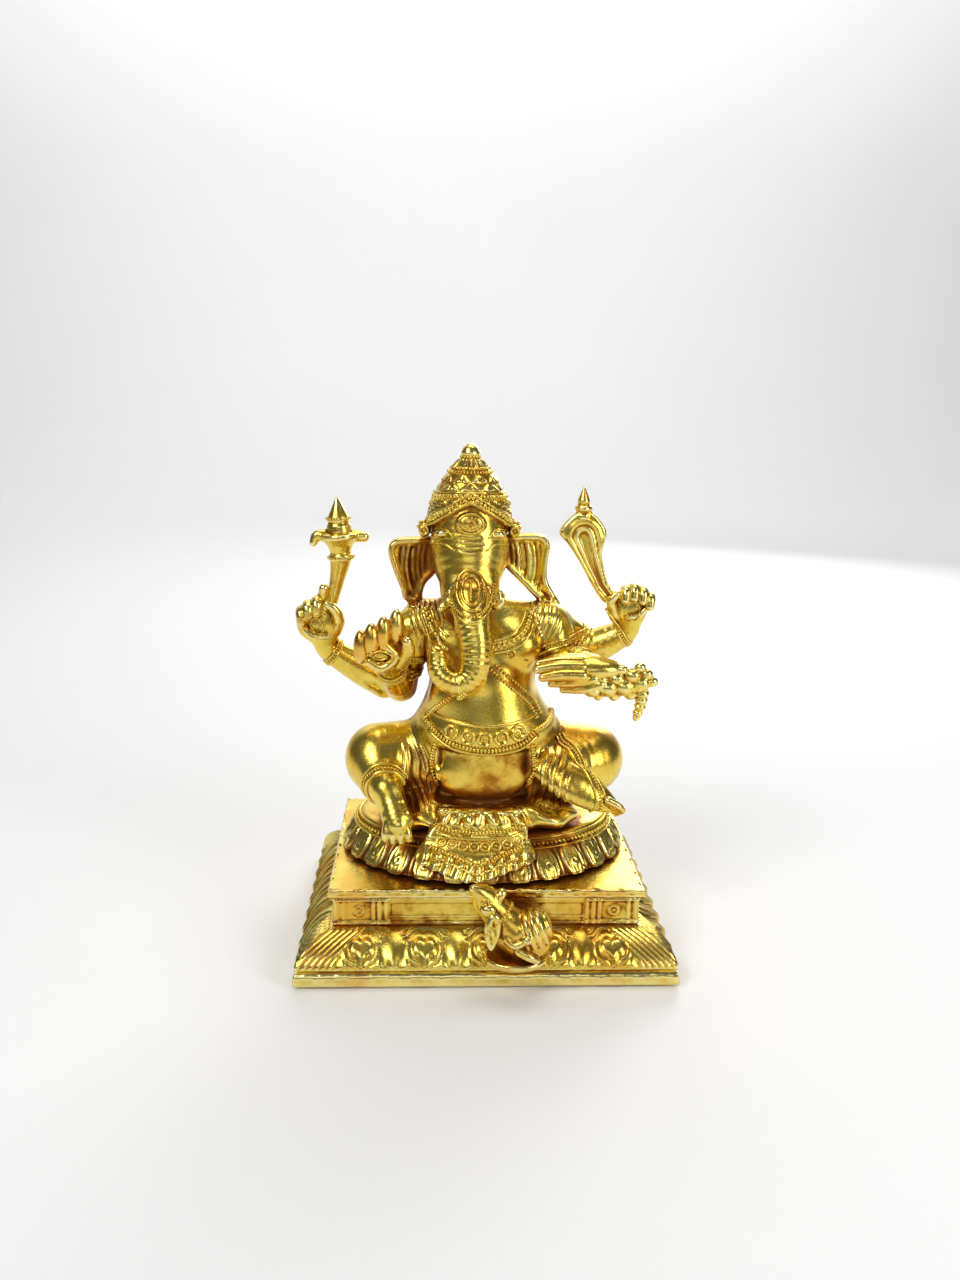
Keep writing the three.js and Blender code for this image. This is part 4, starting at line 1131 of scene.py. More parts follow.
def onto(clay, starts, way, limit=60.0):
    """Marches points along a direction until they meet the surface."""
    p = np.array(starts, float)
    way = unit(np.broadcast_to(np.array(way, float), p.shape))
    gone = np.zeros(len(p))
    for _ in range(70):
        d = np.minimum(clay.near(p), 6.0) * 0.8
        d = np.where(gone > limit, 0, d)
        p = p + way * d[:, None]
        gone += np.abs(d)
    return p, gone < limit


def front_path(clay, points, steps=8, lift=0.15):
    """Path laid on the front of the figure through points (x, z)."""
    flat = spline(points, steps)
    starts = np.stack([flat[:, 0], np.full(len(flat), IN_FRONT), flat[:, 1]], 1)
    p, found = onto(clay, starts, (0, 1, 0))
    p = p[found]
    return p + lift * clay.normal(p)


def ring_path(clay, centre, axis, reach, start=0, sweep=360, lift=0.15, count=40):
    """Path round a limb: rays from outside towards a point on its axis."""
    axis = unit(axis)
    one = np.array([0, -1.0, 0])
    one = unit(one - axis * (one @ axis))
    two = np.cross(axis, one)
    angles = np.radians(np.linspace(start - sweep / 2, start + sweep / 2, count))
    rays = np.cos(angles)[:, None] * one + np.sin(angles)[:, None] * two
    centre = np.array(centre, float)
    p, found = onto(clay, centre + reach * rays, -rays, reach + 1)
    p = p[found]
    return p + lift * clay.normal(p) if len(p) else p


_kept = {}


def kept(name, make):
    """Makes a thing when it is first asked for, and keeps it."""
    if name not in _kept:
        _kept[name] = make()
    return _kept[name]


def around():
    """The surroundings, made once."""
    return kept("surroundings", Surroundings)


def beads(paths, spacing, radius, squeeze=1.0):
    """Strings of beads along paths."""
    paths = [p for p in paths if len(p) > 1]
    return run_tree(kept("strand", strand_tree), path_mesh(paths),
                    {"Spacing": spacing * MM, "Radius": radius * MM, "Squeeze": squeeze,
                     "Metal": gold_plate()})


def wires(paths, radius):
    """Round wires along paths."""
    paths = [p for p in paths if len(p) > 1]
    return run_tree(kept("wire", wire_tree), path_mesh(paths),
                    {"Radius": radius * MM, "Metal": gold_plate()})


def repeated(shape, points, turns, sizes):
    """Small casting repeated at points (mm), with turns (radians) and sizes."""
    mesh = bpy.data.meshes.new("points")
    mesh.from_pydata(((np.array(points, float) + PLACE) * MM).tolist(), [], [])
    for name, values in (("turn", turns), ("size", sizes)):
        attribute = mesh.attributes.new(name, "FLOAT_VECTOR", "POINT")
        attribute.data.foreach_set("vector", np.array(values, np.float32).ravel())
    return run_tree(kept("repeat", repeat_tree), mesh, {"Casting": shape, "Metal": gold_plate()})


def shape_object(name, points, faces):
    """Object from points (mm) and faces, for a tree to repeat."""
    mesh = bpy.data.meshes.new(name)
    mesh.from_pydata((np.array(points, float) * MM).tolist(), [], [tuple(int(i) for i in f) for f in faces])
    return bpy.data.objects.new(name, mesh)


def ring_boss():
    """Cupped ring with a small pip in it, facing -y; its crest has a radius of 1 mm."""
    profile = [(1.25, 0.3), (1.2, -0.25), (1.02, -0.55), (0.8, -0.45), (0.62, -0.05), (0.42, 0.08),
               (0.25, -0.12), (0, -0.22)]
    points, faces, sides = [], [], 12
    for r, y in profile[:-1]:
        points += [(r * math.cos(2 * math.pi * i / sides), y, r * math.sin(2 * math.pi * i / sides))
                   for i in range(sides)]
    points.append((0, profile[-1][1], 0))
    points.append((0, 0.3, 0))
    rows = len(profile) - 1
    for row in range(rows - 1):
        for i in range(sides):
            n = (i + 1) % sides
            faces.append((row * sides + i, row * sides + n, (row + 1) * sides + n, (row + 1) * sides + i))
    last = (rows - 1) * sides
    for i in range(sides):
        n = (i + 1) % sides
        faces.append((last + i, last + n, rows * sides))
        faces.append((n, i, rows * sides + 1))
    return shape_object("ring_boss", points, faces)


def facing(normals):
    """Euler turns that point a casting's -y towards the given normals."""
    turns = []
    for n in normals:
        turns.append(tuple(Vector((0, -1, 0)).rotation_difference(Vector(n)).to_euler()))
    return turns


def bosses(clay, casting, points, size):
    """Ring bosses laid on the front of the figure at (x, z)."""
    starts = np.array([(x, IN_FRONT, z) for x, z in points])
    p, _ = onto(clay, starts, (0, 1, 0))
    normals = clay.normal(p)
    sizes = np.full((len(p), 3), float(size))
    casting.add_ornament(repeated(kept("boss", ring_boss), p, facing(normals), sizes), clay, 0.35)


# ------------------------------------------------------------------ materials


class Value:
    """A shader socket that can be used in sums."""

    def __init__(self, made, socket):
        self.made, self.socket = made, socket

    def _math(self, operation, *others):
        return self.made("ShaderNodeMath", {"operation": operation}, self, *others)

    def __add__(self, other): return self._math("ADD", other)
    def __radd__(self, other): return self._math("ADD", other)
    def __sub__(self, other): return self._math("SUBTRACT", other)
    def __rsub__(self, other): return self.made("ShaderNodeMath", {"operation": "SUBTRACT"}, other, self)
    def __mul__(self, other): return self._math("MULTIPLY", other)

    def ramp(self, low, high):
        return self.made("ShaderNodeMapRange", {"interpolation_type": "SMOOTHSTEP"}, self, low, high)


class Shader:
    """One material's nodes: call it with a node type, settings and socket values in order."""

    def __init__(self, name):
        self.material = bpy.data.materials.new(name)
        self.material.use_nodes = True
        self.nodes = self.material.node_tree.nodes
        self.links = self.material.node_tree.links
        self.surface = self.nodes["Principled BSDF"]

    def __call__(self, kind, settings=None, *values, out=0, **named):
        node = self.nodes.new(kind)
        for key, value in (settings or {}).items():
            setattr(node, key, value)
        for index, value in enumerate(values):
            self.put(node.inputs[index], value)
        for key, value in named.items():
            self.put(node.inputs[key.replace("_", " ")], value)
        return Value(self, node.outputs[out])

    def put(self, socket, value):
        if isinstance(value, Value):
            self.links.new(value.socket, socket)
        elif value is not None:
            socket.default_value = value

    def mix(self, share, one, two):
        node = self.nodes.new("ShaderNodeMix")
        node.data_type = "RGBA"
        self.put(node.inputs[0], share)
        self.put(node.inputs[6], one)
        self.put(node.inputs[7], two)
        return Value(self, node.outputs[2])

    def noise(self, place, scale, detail=3.0, rough=0.6, skew=0.0):
        return self("ShaderNodeTexNoise", {"noise_dimensions": "3D"}, Vector=place, Scale=scale,
                    Detail=detail, Roughness=rough, Distortion=skew)

    def attribute(self, name):
        return self("ShaderNodeAttribute", {"attribute_name": name}, out="Fac")

    def surface_values(self, **named):
        for key, value in named.items():
            self.put(self.surface.inputs[key.replace("_", " ")], value)


def gold_plate():
    """The plate material, made once."""
    return kept("gold", make_gold)


def make_gold():
    """Bright gold plate over cast brass, with tarnish and painted shade in the hollows and corners, and wear
    and painted highlights on the crests.
    """
    look = bpy.context.scene.idol_finish
    s = Shader("gold_plate")
    place = s("ShaderNodeTexCoord", out="Object")
    hollow, enclosed = s.attribute("hollow"), s.attribute("enclosed")
    blotch = s.noise(place, 210, 4, 0.62, 0.4)
    speck = s.noise(place, 1500, 3, 0.6)
    cloud = s.noise(place, 70, 3, 0.55, 0.3)
    # Grooves and enclosed corners: orange-brown tarnish together with painted shade where the metal is hemmed
    # in or faces downwards.
    groove_tarnish_and_shade = (hollow + (blotch - 0.5) * 0.9).ramp(0.12, 0.75)
    corner_tarnish_and_shade = (enclosed + (blotch - 0.5) * 0.6 + (cloud - 0.5) * 0.6).ramp(0.24, 0.72)
    tarnish_and_shade = (groove_tarnish_and_shade * 0.75 + corner_tarnish_and_shade * 0.8).ramp(0.05, 1.1) * look.tarnish
    # Painted shade, near-black dark brown, in the most enclosed corners; the metal is made less metallic
    # there too.
    deep = (tarnish_and_shade + (speck - 0.5) * 0.3).ramp(0.6, 1.05)
    # Crests lighter: wear together with a painted highlight.
    rubbed_and_highlit = (0 - hollow).ramp(0.15, 0.9)
    clean = s.mix((cloud * 0.6 + blotch * 0.5).ramp(0.35, 0.75), (*look.gold, 1), (*look.gold_deep, 1))
    clean = s.mix(rubbed_and_highlit * 0.7, clean, (*look.gold_rubbed, 1))
    flush = s.noise(place, 45, 3, 0.5, 0.6).ramp(0.48, 0.68)
    clean = s.mix(flush * 0.7, clean, (*look.flushed, 1))
    # Orange brown over the hollows and corners: tarnish and painted shade.
    colour = s.mix(tarnish_and_shade.ramp(0.05, 0.7), clean, (*look.bronzed, 1))
    colour = s.mix(deep, colour, (*look.recess, 1))
    rough = (0.17 + blotch * 0.10 + speck * 0.09) + tarnish_and_shade * 0.24 - rubbed_and_highlit * 0.05
    grain = s("ShaderNodeBump", {}, Strength=0.55, Distance=0.00022,
              Height=blotch * 0.55 + speck * 0.22 + cloud * 0.5, out="Normal")
    s.surface_values(Base_Color=colour, Metallic=1 - deep * 0.25, Roughness=rough, Normal=grain)
    return s.material


def bare_brass():
    """Turned brass stud: drawn lines round it and a little oxide."""
    s = Shader("bare_brass")
    place = s("ShaderNodeTexCoord", out="Object")
    lines = s("ShaderNodeTexWave", {"bands_direction": "Z", "wave_profile": "SIN"}, Vector=place,
              Scale=260.0, Distortion=1.2, Detail=2.0)
    cloud = s.noise(place, 260, 4)
    colour = s.mix(cloud.ramp(0.4, 0.75), (0.62, 0.40, 0.12, 1), (0.33, 0.19, 0.07, 1))
    grain = s("ShaderNodeBump", {}, Strength=0.5, Distance=0.0001, Height=lines * 0.6 + cloud * 0.4,
              out="Normal")
    s.surface_values(Base_Color=colour, Metallic=1.0, Roughness=0.28 + cloud * 0.22, Normal=grain)
    return s.material


def zinc_steel():
    """Zinc plated washer and nut: grey spangle with faint rainbow dulling."""
    s = Shader("zinc_steel")
    place = s("ShaderNodeTexCoord", out="Object")
    spangle = s("ShaderNodeTexVoronoi", {}, Vector=place, Scale=900.0, out="Color")
    shade = s("ShaderNodeSeparateColor", {}, spangle, out=0)
    cloud = s.noise(place, 300, 4)
    colour = s.mix(shade, (0.50, 0.52, 0.54, 1), (0.66, 0.66, 0.62, 1))
    colour = s.mix(cloud.ramp(0.5, 0.8), colour, (0.34, 0.30, 0.24, 1))
    grain = s("ShaderNodeBump", {}, Strength=0.4, Distance=0.0001, Height=cloud, out="Normal")
    s.surface_values(Base_Color=colour, Metallic=1.0, Roughness=0.3 + shade * 0.14, Normal=grain)
    return s.material


def floor_paint():
    """Pale matt paint of the floor."""
    s = Shader("pale_floor")
    place = s("ShaderNodeTexCoord", out="Object")
    soft = s.noise(place, 6, 2)
    colour = s.mix(soft, (0.93, 0.93, 0.93, 1), (0.96, 0.96, 0.96, 1))
    s.surface_values(Base_Color=colour, Roughness=0.85)
    return s.material


# ------------------------------------------------------------------ plinth skins


def band(rings):
    """Quads through closed rings, and from the last ring back to the first."""
    rings = np.array(rings)
    rows, n = rings.shape[:2]
    index = np.arange(rows * n).reshape(rows, n)
    a, b = index, np.roll(index, -1, 1)
    c, d = np.roll(b, -1, 0), np.roll(a, -1, 0)
    return rings.reshape(-1, 3), np.stack([a, b, c, d], -1).reshape(-1, 4)


def flat_loop(half_x, half_y, step):
    """Stations round a rectangle, anticlockwise: side, place along it from -1 to 1."""
    loops = []
    for side, length in ((0, half_x), (1, half_y), (2, half_x), (3, half_y)):
        n = max(int(round(2 * length / step)), 8)
        loops += [(side, -1 + 2 * i / n) for i in range(n)]
    return np.array(loops)


TURN = [np.array([[1, 0], [0, 1]]), np.array([[0, -1], [1, 0]]),
        np.array([[-1, 0], [0, -1]]), np.array([[0, 1], [-1, 0]])]


def rectangle_ring(loop, half_x, half_y, z, out=0.0, up=0.0):
    """Ring of points on a rectangle, pushed outwards and upwards by out and up."""
    side = loop[:, 0].astype(int)
    along = loop[:, 1] * np.where(side % 2 == 0, half_x, half_y)
    away = np.where(side % 2 == 0, half_y, half_x) + out
    local = np.stack([along, -away], 1)
    xy = np.einsum("nij,nj->ni", np.array(TURN)[side], local)
    return np.column_stack([xy, z + up * np.ones(len(loop))])


def oval_ring(angle, rx, ry, z):
    """Ring of points on an oval."""
    return np.column_stack([rx * np.cos(angle), ry * np.sin(angle), np.full(len(angle), z)])


def wobble(a, b, seed=0.0):
    """Slow unevenness of a hand-finished edge, about -1 to 1."""
    return (np.sin(0.61 * a + 1.3 * b + seed) + 0.7 * np.sin(1.37 * a - 0.8 * b + 2.1 * seed)
            + 0.5 * np.sin(2.9 * a + 1.9 * b + 0.7 * seed)) / 2.2


def mitre(x, y, half, reach):
    """Share of a side's mitred corner, from reach mm inwards, and the lines that run along it."""
    inwards = half - np.abs(x)
    lines = np.cos(2 * math.pi * (inwards - 0.2 * y) / MITRE_PITCH)
    return smoothstep(reach, reach - 2, inwards), lines


def cyma_relief(x, v, half):
    """Heart-shaped bosses in nested lines, and leaves spread between: x along a side."""
    pitch = 16.3
    off_boss = np.abs((x / pitch + 0.5) % 1 - 0.5) * pitch
    off_leaf = ((x / pitch) % 1 - 0.5) * pitch
    y = (v - 0.52) * BAND_WIDTH
    lobes = np.hypot(off_boss - 1.3, (y - 1.4) * 0.85) - 1.75
    inside = np.minimum(lobes, np.maximum(off_boss - (y + 2.8) * 0.62, y - 1.6))
    boss = 0.75 * smoothstep(0.3, -0.8, inside)
    line = -ridge((inside / 1.45 + 0.12 * y) % 1 - 0.5, 0.27)
    nested = smoothstep(0.2, 0.6, inside) * smoothstep(5.6, 4.6, inside)
    fan = np.cos(10.0 * np.arctan2(off_leaf, y + 9.0))
    between = smoothstep(4.9, 6.0, off_boss + 0.25 * (2 - y))
    corner, corner_lines = mitre(x, y, half, 10.5)
    relief = boss + 0.55 * line * nested * (1 - between) + 0.36 * fan * between
    return 0.72 * relief * (1 - corner) + 0.34 * corner_lines * corner


def side_relief(x, v, half):
    """Rope-like diagonal leaves on the plinth's sides."""
    pitch = 8.1
    y = (v - 0.5) * BAND_WIDTH
    turn = 2 * math.pi * (x + 0.55 * y + 1.1 * np.sin(y * 0.55)) / pitch
    corner, corner_lines = mitre(x, y, half, 10)
    return (0.45 * np.cos(turn) + 0.22 * np.cos(4 * turn)) * (1 - corner) + 0.4 * corner_lines * corner


def dado_relief(x, z, half):
    """Pilasters, end panels with a ring boss, paired pilasters and a long sunk panel."""
    a = half - np.abs(x)
    lift = np.zeros_like(x)
    for middle, width in ((0.9, 0.8), (2.9, 0.55), (10.6, 0.55), (12.2, 0.7), (14.0, 0.55)):
        lift = lift + 0.42 * ridge(a - middle, width)
    boss_at = np.hypot(a - 6.8, z)
    lift = lift + 0.5 * ridge(boss_at - 1.25, 0.42) + 0.45 * ridge(boss_at, 0.55)
    panel = smoothstep(14.6, 15.2, a)
    lift = lift - 0.45 * panel
    for level in (-2.7, -1.9, 2.3, 3.0):
        lift = lift + 0.34 * ridge(z - level, 0.36) * panel
    for level in (-2.9, 2.9):
        lift = lift + 0.36 * ridge(z - level, 0.4) * (1 - panel)
    return lift


def lotus_relief(angle, v):
    """Petals that hang down, with a ring curl in each, and a rib between them."""
    u = ((angle * PETALS / (2 * math.pi) + 0.5) % 1 - 0.5) * 2   # 0 on a petal, +-1 between two
    width = 0.78 * np.sqrt(np.clip(1 - ((v - 0.44) / 0.5) ** 2, 0, 1)) + 0.02
    e = np.abs(u) / np.maximum(width, 0.05)
    open_petal = smoothstep(1.08, 0.92, e)
    rim = ridge(e - 0.86, 0.2)
    inner = ridge(e - 0.46, 0.15) * (v < 0.8)
    ring = ridge(np.hypot(u * 2.6, (v - 0.44) * 5.2) - 0.5, 0.26)
    body = open_petal * (0.55 + 0.42 * rim + 0.3 * inner + 0.36 * ring)
    body = body + 0.42 * ridge(np.abs(u) - 1.0, 0.12) * (1 - open_petal) * smoothstep(1.0, 0.9, v)
    foot = 0.4 * ridge(v - 0.02, 0.05)
    return body * smoothstep(0.0, 0.06, v) + foot


FIGURE = Clay(figure_forms())
MOUSE_CLAY = Clay(mouse_forms())


def dress_figure():
    """Chased lines that are part of the castings themselves."""
    if FIGURE.reliefs:
        return
    FIGURE.reliefs.append(Relief([-16, -24, 39.5], [14, -6, 59], belly_panel))
    FIGURE.reliefs.append(Relief([-31, -24, 33.8], [29, 0, 58], hip_folds))
    FIGURE.reliefs.append(Relief([-23, -16, 83], [22, 3, 94], folds_on_shoulders))
    line = lambda points, width, height: FIGURE.reliefs.append(
        groove(front_path(FIGURE, points, 4, 0), width, height))
    for z, half in ((112.2, 2.6), (110.9, 3.1), (109.6, 2.6)):
        line([(HEAD_X - half, z), (HEAD_X, z - 0.2), (HEAD_X + half, z)], 0.55, -0.4)


def lattice_step():
    """Spacing of the lattice round the figure, mm."""
    look = bpy.context.scene.idol_detail
    return look.step / MM


def plinth_step():
    """Spacing of the points on the base and the seat, mm."""
    step = bpy.context.scene.idol_detail.plinth_step / MM
    return step


def cast(names, clay=None):
    """Casts the named parts of the figure and gives {name: Casting} to dress."""
    clay = clay or FIGURE
    dress_figure()
    pitch = lattice_step()
    made = {}
    for name, (blocks, samples) in clay.parted(pitch, names).items():
        points, faces = skin(blocks, samples, pitch)
        points = clay.settle(points, faces, pitch)
        casting = Casting(name + "_casting")
        casting.add_quads(points, faces)
        made[name] = casting
    return made


# ------------------------------------------------------------------ properties


def colour_setting(name, description, default):
    """A colour that the panel shows."""
    return FloatVectorProperty(name=name, description=description, subtype="COLOR", size=3,
                               min=0, max=1, default=default)


class IdolFinish(bpy.types.PropertyGroup):
    """Colours of the plate, of its tarnish, and of the shade and highlights painted on it."""
    gold: colour_setting("Gold", "Clean gold plate", (0.90, 0.70, 0.14))
    gold_deep: colour_setting("Deep gold", "Thicker patches of plate", (0.74, 0.52, 0.06))
    # Lighter gold of the crests: wear and painted highlight.
    gold_rubbed: colour_setting("Rubbed gold", "Polished crests", (1.0, 0.90, 0.42))
    flushed: colour_setting("Flushed", "Warm patches on the open surfaces", (0.80, 0.40, 0.04))
    # Orange brown of the tarnish, also laid as painted shade in hollows and corners.
    bronzed: colour_setting("Bronzed", "Orange brown in shallow hollows", (0.40, 0.15, 0.015))
    # Dark brown painted shade in the most enclosed corners.
    recess: colour_setting("Recess", "Dark brown in deep corners", (0.075, 0.026, 0.008))
    # Strength of the tarnish and of the painted shade in hollows and corners.
    tarnish: FloatProperty(name="Tarnish", description="How much the hollows have browned",
                           default=0.9, min=0, max=1.5, subtype="FACTOR")


class IdolDetail(bpy.types.PropertyGroup):
    """Fineness of the castings."""
    step: FloatProperty(name="Step", description="Lattice step of the castings", default=0.00036,
                        min=0.0002, max=0.002, unit="LENGTH")
    quick_step: FloatProperty(name="Quick step", description="Lattice step for a quick look",
                              default=0.0006, min=0.0003, max=0.003, unit="LENGTH")
    plinth_step: FloatProperty(name="Plinth step", description="Width of the plinth's quads",
                               default=0.00040, min=0.0002, max=0.002, unit="LENGTH")


class IdolStage(bpy.types.PropertyGroup):
    """The camera's lens and the lights."""
    lens: FloatProperty(name="Lens", description="Camera focal length in mm on a 36 mm sensor",
                        default=28.97, min=10, max=200)
    key: FloatProperty(name="Key light", description="Power of the main soft box", default=2.5,
                       min=0, max=100, unit="POWER")
    sky: FloatProperty(name="Surround", description="Brightness of the room", default=0.1, min=0, max=5)


# ------------------------------------------------------------------ operators


def four_sides(hx, hy, step):
    """Loop round a rectangle, with each point's side and that side's half length."""
    loop = flat_loop(hx, hy, step)
    side = loop[:, 0].astype(int)
    return loop, side, np.where(side % 2 == 0, hx, hy)


def finish_all(made):
    """Finishes the castings in the order in which they were cast."""
    for name, casting in made.items():
        casting.finish(name)


class IDOL_OT_plinth(bpy.types.Operator):
    """Casts the moulded base, the panelled dado and the top plate"""
    bl_idname = "idol.plinth"
    bl_label = "Plinth"

    def execute(self, context):
        step = plinth_step()
        self.base(step)
        self.dado(step)
        self.plate(step)
        return {"FINISHED"}

    def base(self, step):
        hx, hy = PLINTH_X, PLINTH_Y
        loop, side, span = four_sides(hx, hy, step)
        rings = []
        profile = [(0.0, 1.2), (0.25, 0.5), (0.7, 0.12), (1.3, 0.0), (2.2, 0.0), (3.0, 0.05), (3.5, 0.3),
                   (3.9, 0.75), (4.15, 1.3), (4.3, 1.9), (4.5, 2.05), (4.7, 1.9)]
        for z, inset in profile:
            edge = 0.12 * wobble(loop[:, 1] * span, z) * smoothstep(0, 1, z)
            rings.append(rectangle_ring(loop, hx - inset, hy - inset, z, edge - 0.12))
        cyma = spline([(0, 0.6), (0.17, 0.62), (0.42, 1.94), (0.68, 4.35), (0.86, 6.75), (1, 9.1)], 8)
        fine = np.linspace(0, 1, 34)
        share, inset = cyma[:, 0], cyma[:, 1]
        for v in fine:
            s = np.interp(v, share, inset)
            z = BAND_FOOT + BAND_RISE * v
            slope = ((np.interp(v + 0.02, share, inset) - np.interp(v - 0.02, share, inset))
                     / (0.04 * BAND_RISE))
            n = unit([1.0, slope])
            x = loop[:, 1] * (span - s)
            relief = np.where(side % 2 == 0, cyma_relief(x, v, span - s), side_relief(x, v, span - s))
            seam = smoothstep(0, 0.012, 1 - np.abs(loop[:, 1]))
            fade = smoothstep(0.0, 0.08, v) * smoothstep(1.0, 0.93, v)
            h = (relief * fade * 0.9 - 0.15) * (0.35 + 0.65 * seam)
            rings.append(rectangle_ring(loop, hx - s, hy - s, z, h * n[0], h * n[1]))
        for z, inset in ((12.7, 9.9), (12.68, 12.1), (10.1, 12.1), (7.5, 5.8), (4.7, 3.8), (0, 3.2)):
            rings.append(rectangle_ring(loop, hx - inset, hy - inset, z))
        points, faces = band(rings)
        piece = Casting("base_tier_casting")
        piece.add_quads(points, faces, rounds=0, shelter=0.5, lines=0.62)
        piece.finish("base_tier")

    def dado(self, step):
        hx, hy = PLINTH_X - DADO_INSET, PLINTH_Y - DADO_INSET
        loop, side, span = four_sides(hx, hy, step)
        x = loop[:, 1] * span
        rings = []
        for z in np.linspace(DADO_FOOT, DADO_TOP, 24):
            v = z - (DADO_FOOT + DADO_TOP) / 2
            ends = smoothstep(0, 0.3, z - DADO_FOOT) * smoothstep(0, 0.3, DADO_TOP - z)
            lift = dado_relief(x, v, span) * ends - 0.4
            foot = 0.5 * ridge(z - 13.1 - 0.25 * wobble(x, side), 0.6)
            seam = smoothstep(0, 0.8, span - np.abs(x))
            rings.append(rectangle_ring(loop, hx, hy, z, np.maximum(lift, -0.9) * seam * 0.8
                                        - 0.3 * (1 - seam) + foot))
        for z, inset in ((DADO_TOP, 2.5), (15, 2.5), (15, 3.8), (11.4, 4.6), (11.4, 2.8),
                         (DADO_FOOT, 2.8)):
            rings.append(rectangle_ring(loop, hx - inset, hy - inset, z))
        piece = Casting("dado_casting")
        piece.add_quads(*band(rings), rounds=0, shelter=0.45, lines=0.7)
        piece.finish("dado_box")

    def plate(self, step):
        hx, hy = PLINTH_X - PLATE_INSET, PLINTH_Y - PLATE_INSET
        loop, side, span = four_sides(hx, hy, step * 1.2)
        x = loop[:, 1] * span
        rings = []
        for z, inset in ((PLATE_FOOT, 0.5), (21.05, 0.15), (21.5, 0.0), (21.9, 0.12), (22.3, 0.1),
                         (22.8, 0.02), (23.05, 0.2), (PLATE_TOP, 0.6)):
            edge = 0.16 * wobble(x * 1.5, z * 2 + side) - 0.2
            rings.append(rectangle_ring(loop, hx - inset, hy - inset, z, edge,
                                        0.10 * wobble(x, side + 3) * (21 < z < 23.1)))
        for share in np.linspace(0.03, 0.96, 40):
            inset = share * (hy - BOLT_HOLE)
            ring = rectangle_ring(loop, hx - inset, hy - inset, PLATE_TOP)
            ring[:, 2] += 0.035 * wobble(ring[:, 0] * 0.7, ring[:, 1] * 0.7)
            rings.append(ring)
        around_hole = np.arctan2(rings[-1][:, 1], rings[-1][:, 0])
        rings += [oval_ring(around_hole, BOLT_HOLE, BOLT_HOLE, z) for z in (PLATE_TOP, PLATE_FOOT)]
        for z, inset in ((PLATE_FOOT, 7.2), (PLATE_FOOT, 5.9), (19.3, 5.9), (19.3, 4.1), (PLATE_FOOT, 4.1)):
            rings.append(rectangle_ring(loop, hx - inset, hy - inset, z))
        piece = Casting("top_plate_casting")
        piece.add_quads(*band(rings), rounds=0, shelter=0.8)
        piece.finish("top_plate")


class IDOL_OT_lotus_seat(bpy.types.Operator):
    """Casts the oval lotus seat with its hanging petals and bead row"""
    bl_idname = "idol.lotus_seat"
    bl_label = "Lotus seat"

    def execute(self, context):
        n = int(round(2 * math.pi * 35 / plinth_step() / PETALS)) * PETALS
        angle = np.arange(n) * 2 * math.pi / n
        wave = (np.cos(PETALS * angle) - 1) / 2
        rings = []
        steep = 1 + 0.75 * np.sin(angle) ** 2  # the seat slopes more in front and behind
        profile = spline([(0, 0.9, 1), (0.05, 0.1, 1), (0.12, 0.0, 1), (0.24, 0.45, 1), (0.45, 1.6, 0.6),
                          (0.7, 3.2, 0.2), (0.86, 4.2, 0), (0.93, 4.6, 0), (0.97, 4.9, 0), (1, 5.5, 0)], 7)
        for share, inset, scallop in profile:
            v = (share - 0.03) / 0.8
            relief = lotus_relief(angle, v) * (v < 1) * 1.05 if 0 <= v <= 1 else 0 * angle
            out = -inset * steep + 0.6 * scallop * wave + relief - 0.7
            z = SEAT_FOOT + (SEAT_TOP - SEAT_FOOT) * share
            rings.append(oval_ring(angle, SEAT_X + out, SEAT_Y + out, z))
        for share in np.linspace(0.04, 0.95, 26):
            rx, ry = (wide * (1 - share) + BOLT_HOLE * share for wide in (34.1, 19.4))
            ring = oval_ring(angle, rx, ry, SEAT_TOP)
            ring[:, 2] += 0.05 * wobble(ring[:, 0] * 0.6, ring[:, 1] * 0.6)
            rings.append(ring)
        rings += [oval_ring(angle, BOLT_HOLE, BOLT_HOLE, z) for z in (SEAT_TOP, SEAT_FOOT)]
        piece = Casting("lotus_seat_casting")
        points, faces = band(rings)
        piece.add_quads(points, faces, rounds=0)
        loop = np.linspace(0, 2 * math.pi, 400)
        slope = 1 + 0.75 * np.sin(loop) ** 2
        ring_at = lambda inset, z: oval_ring(loop, SEAT_X - 0.35 - inset * slope,
                                             SEAT_Y - 0.35 - inset * slope, z)
        piece.add_ornament(beads([ring_at(3.75, 31.7)], 1.25, 0.6, 0.95))
        piece.add_ornament(wires([ring_at(3.2, 30.8), ring_at(4.5, 32.8)], 0.34))
        piece.finish("lotus_seat")
        return {"FINISHED"}


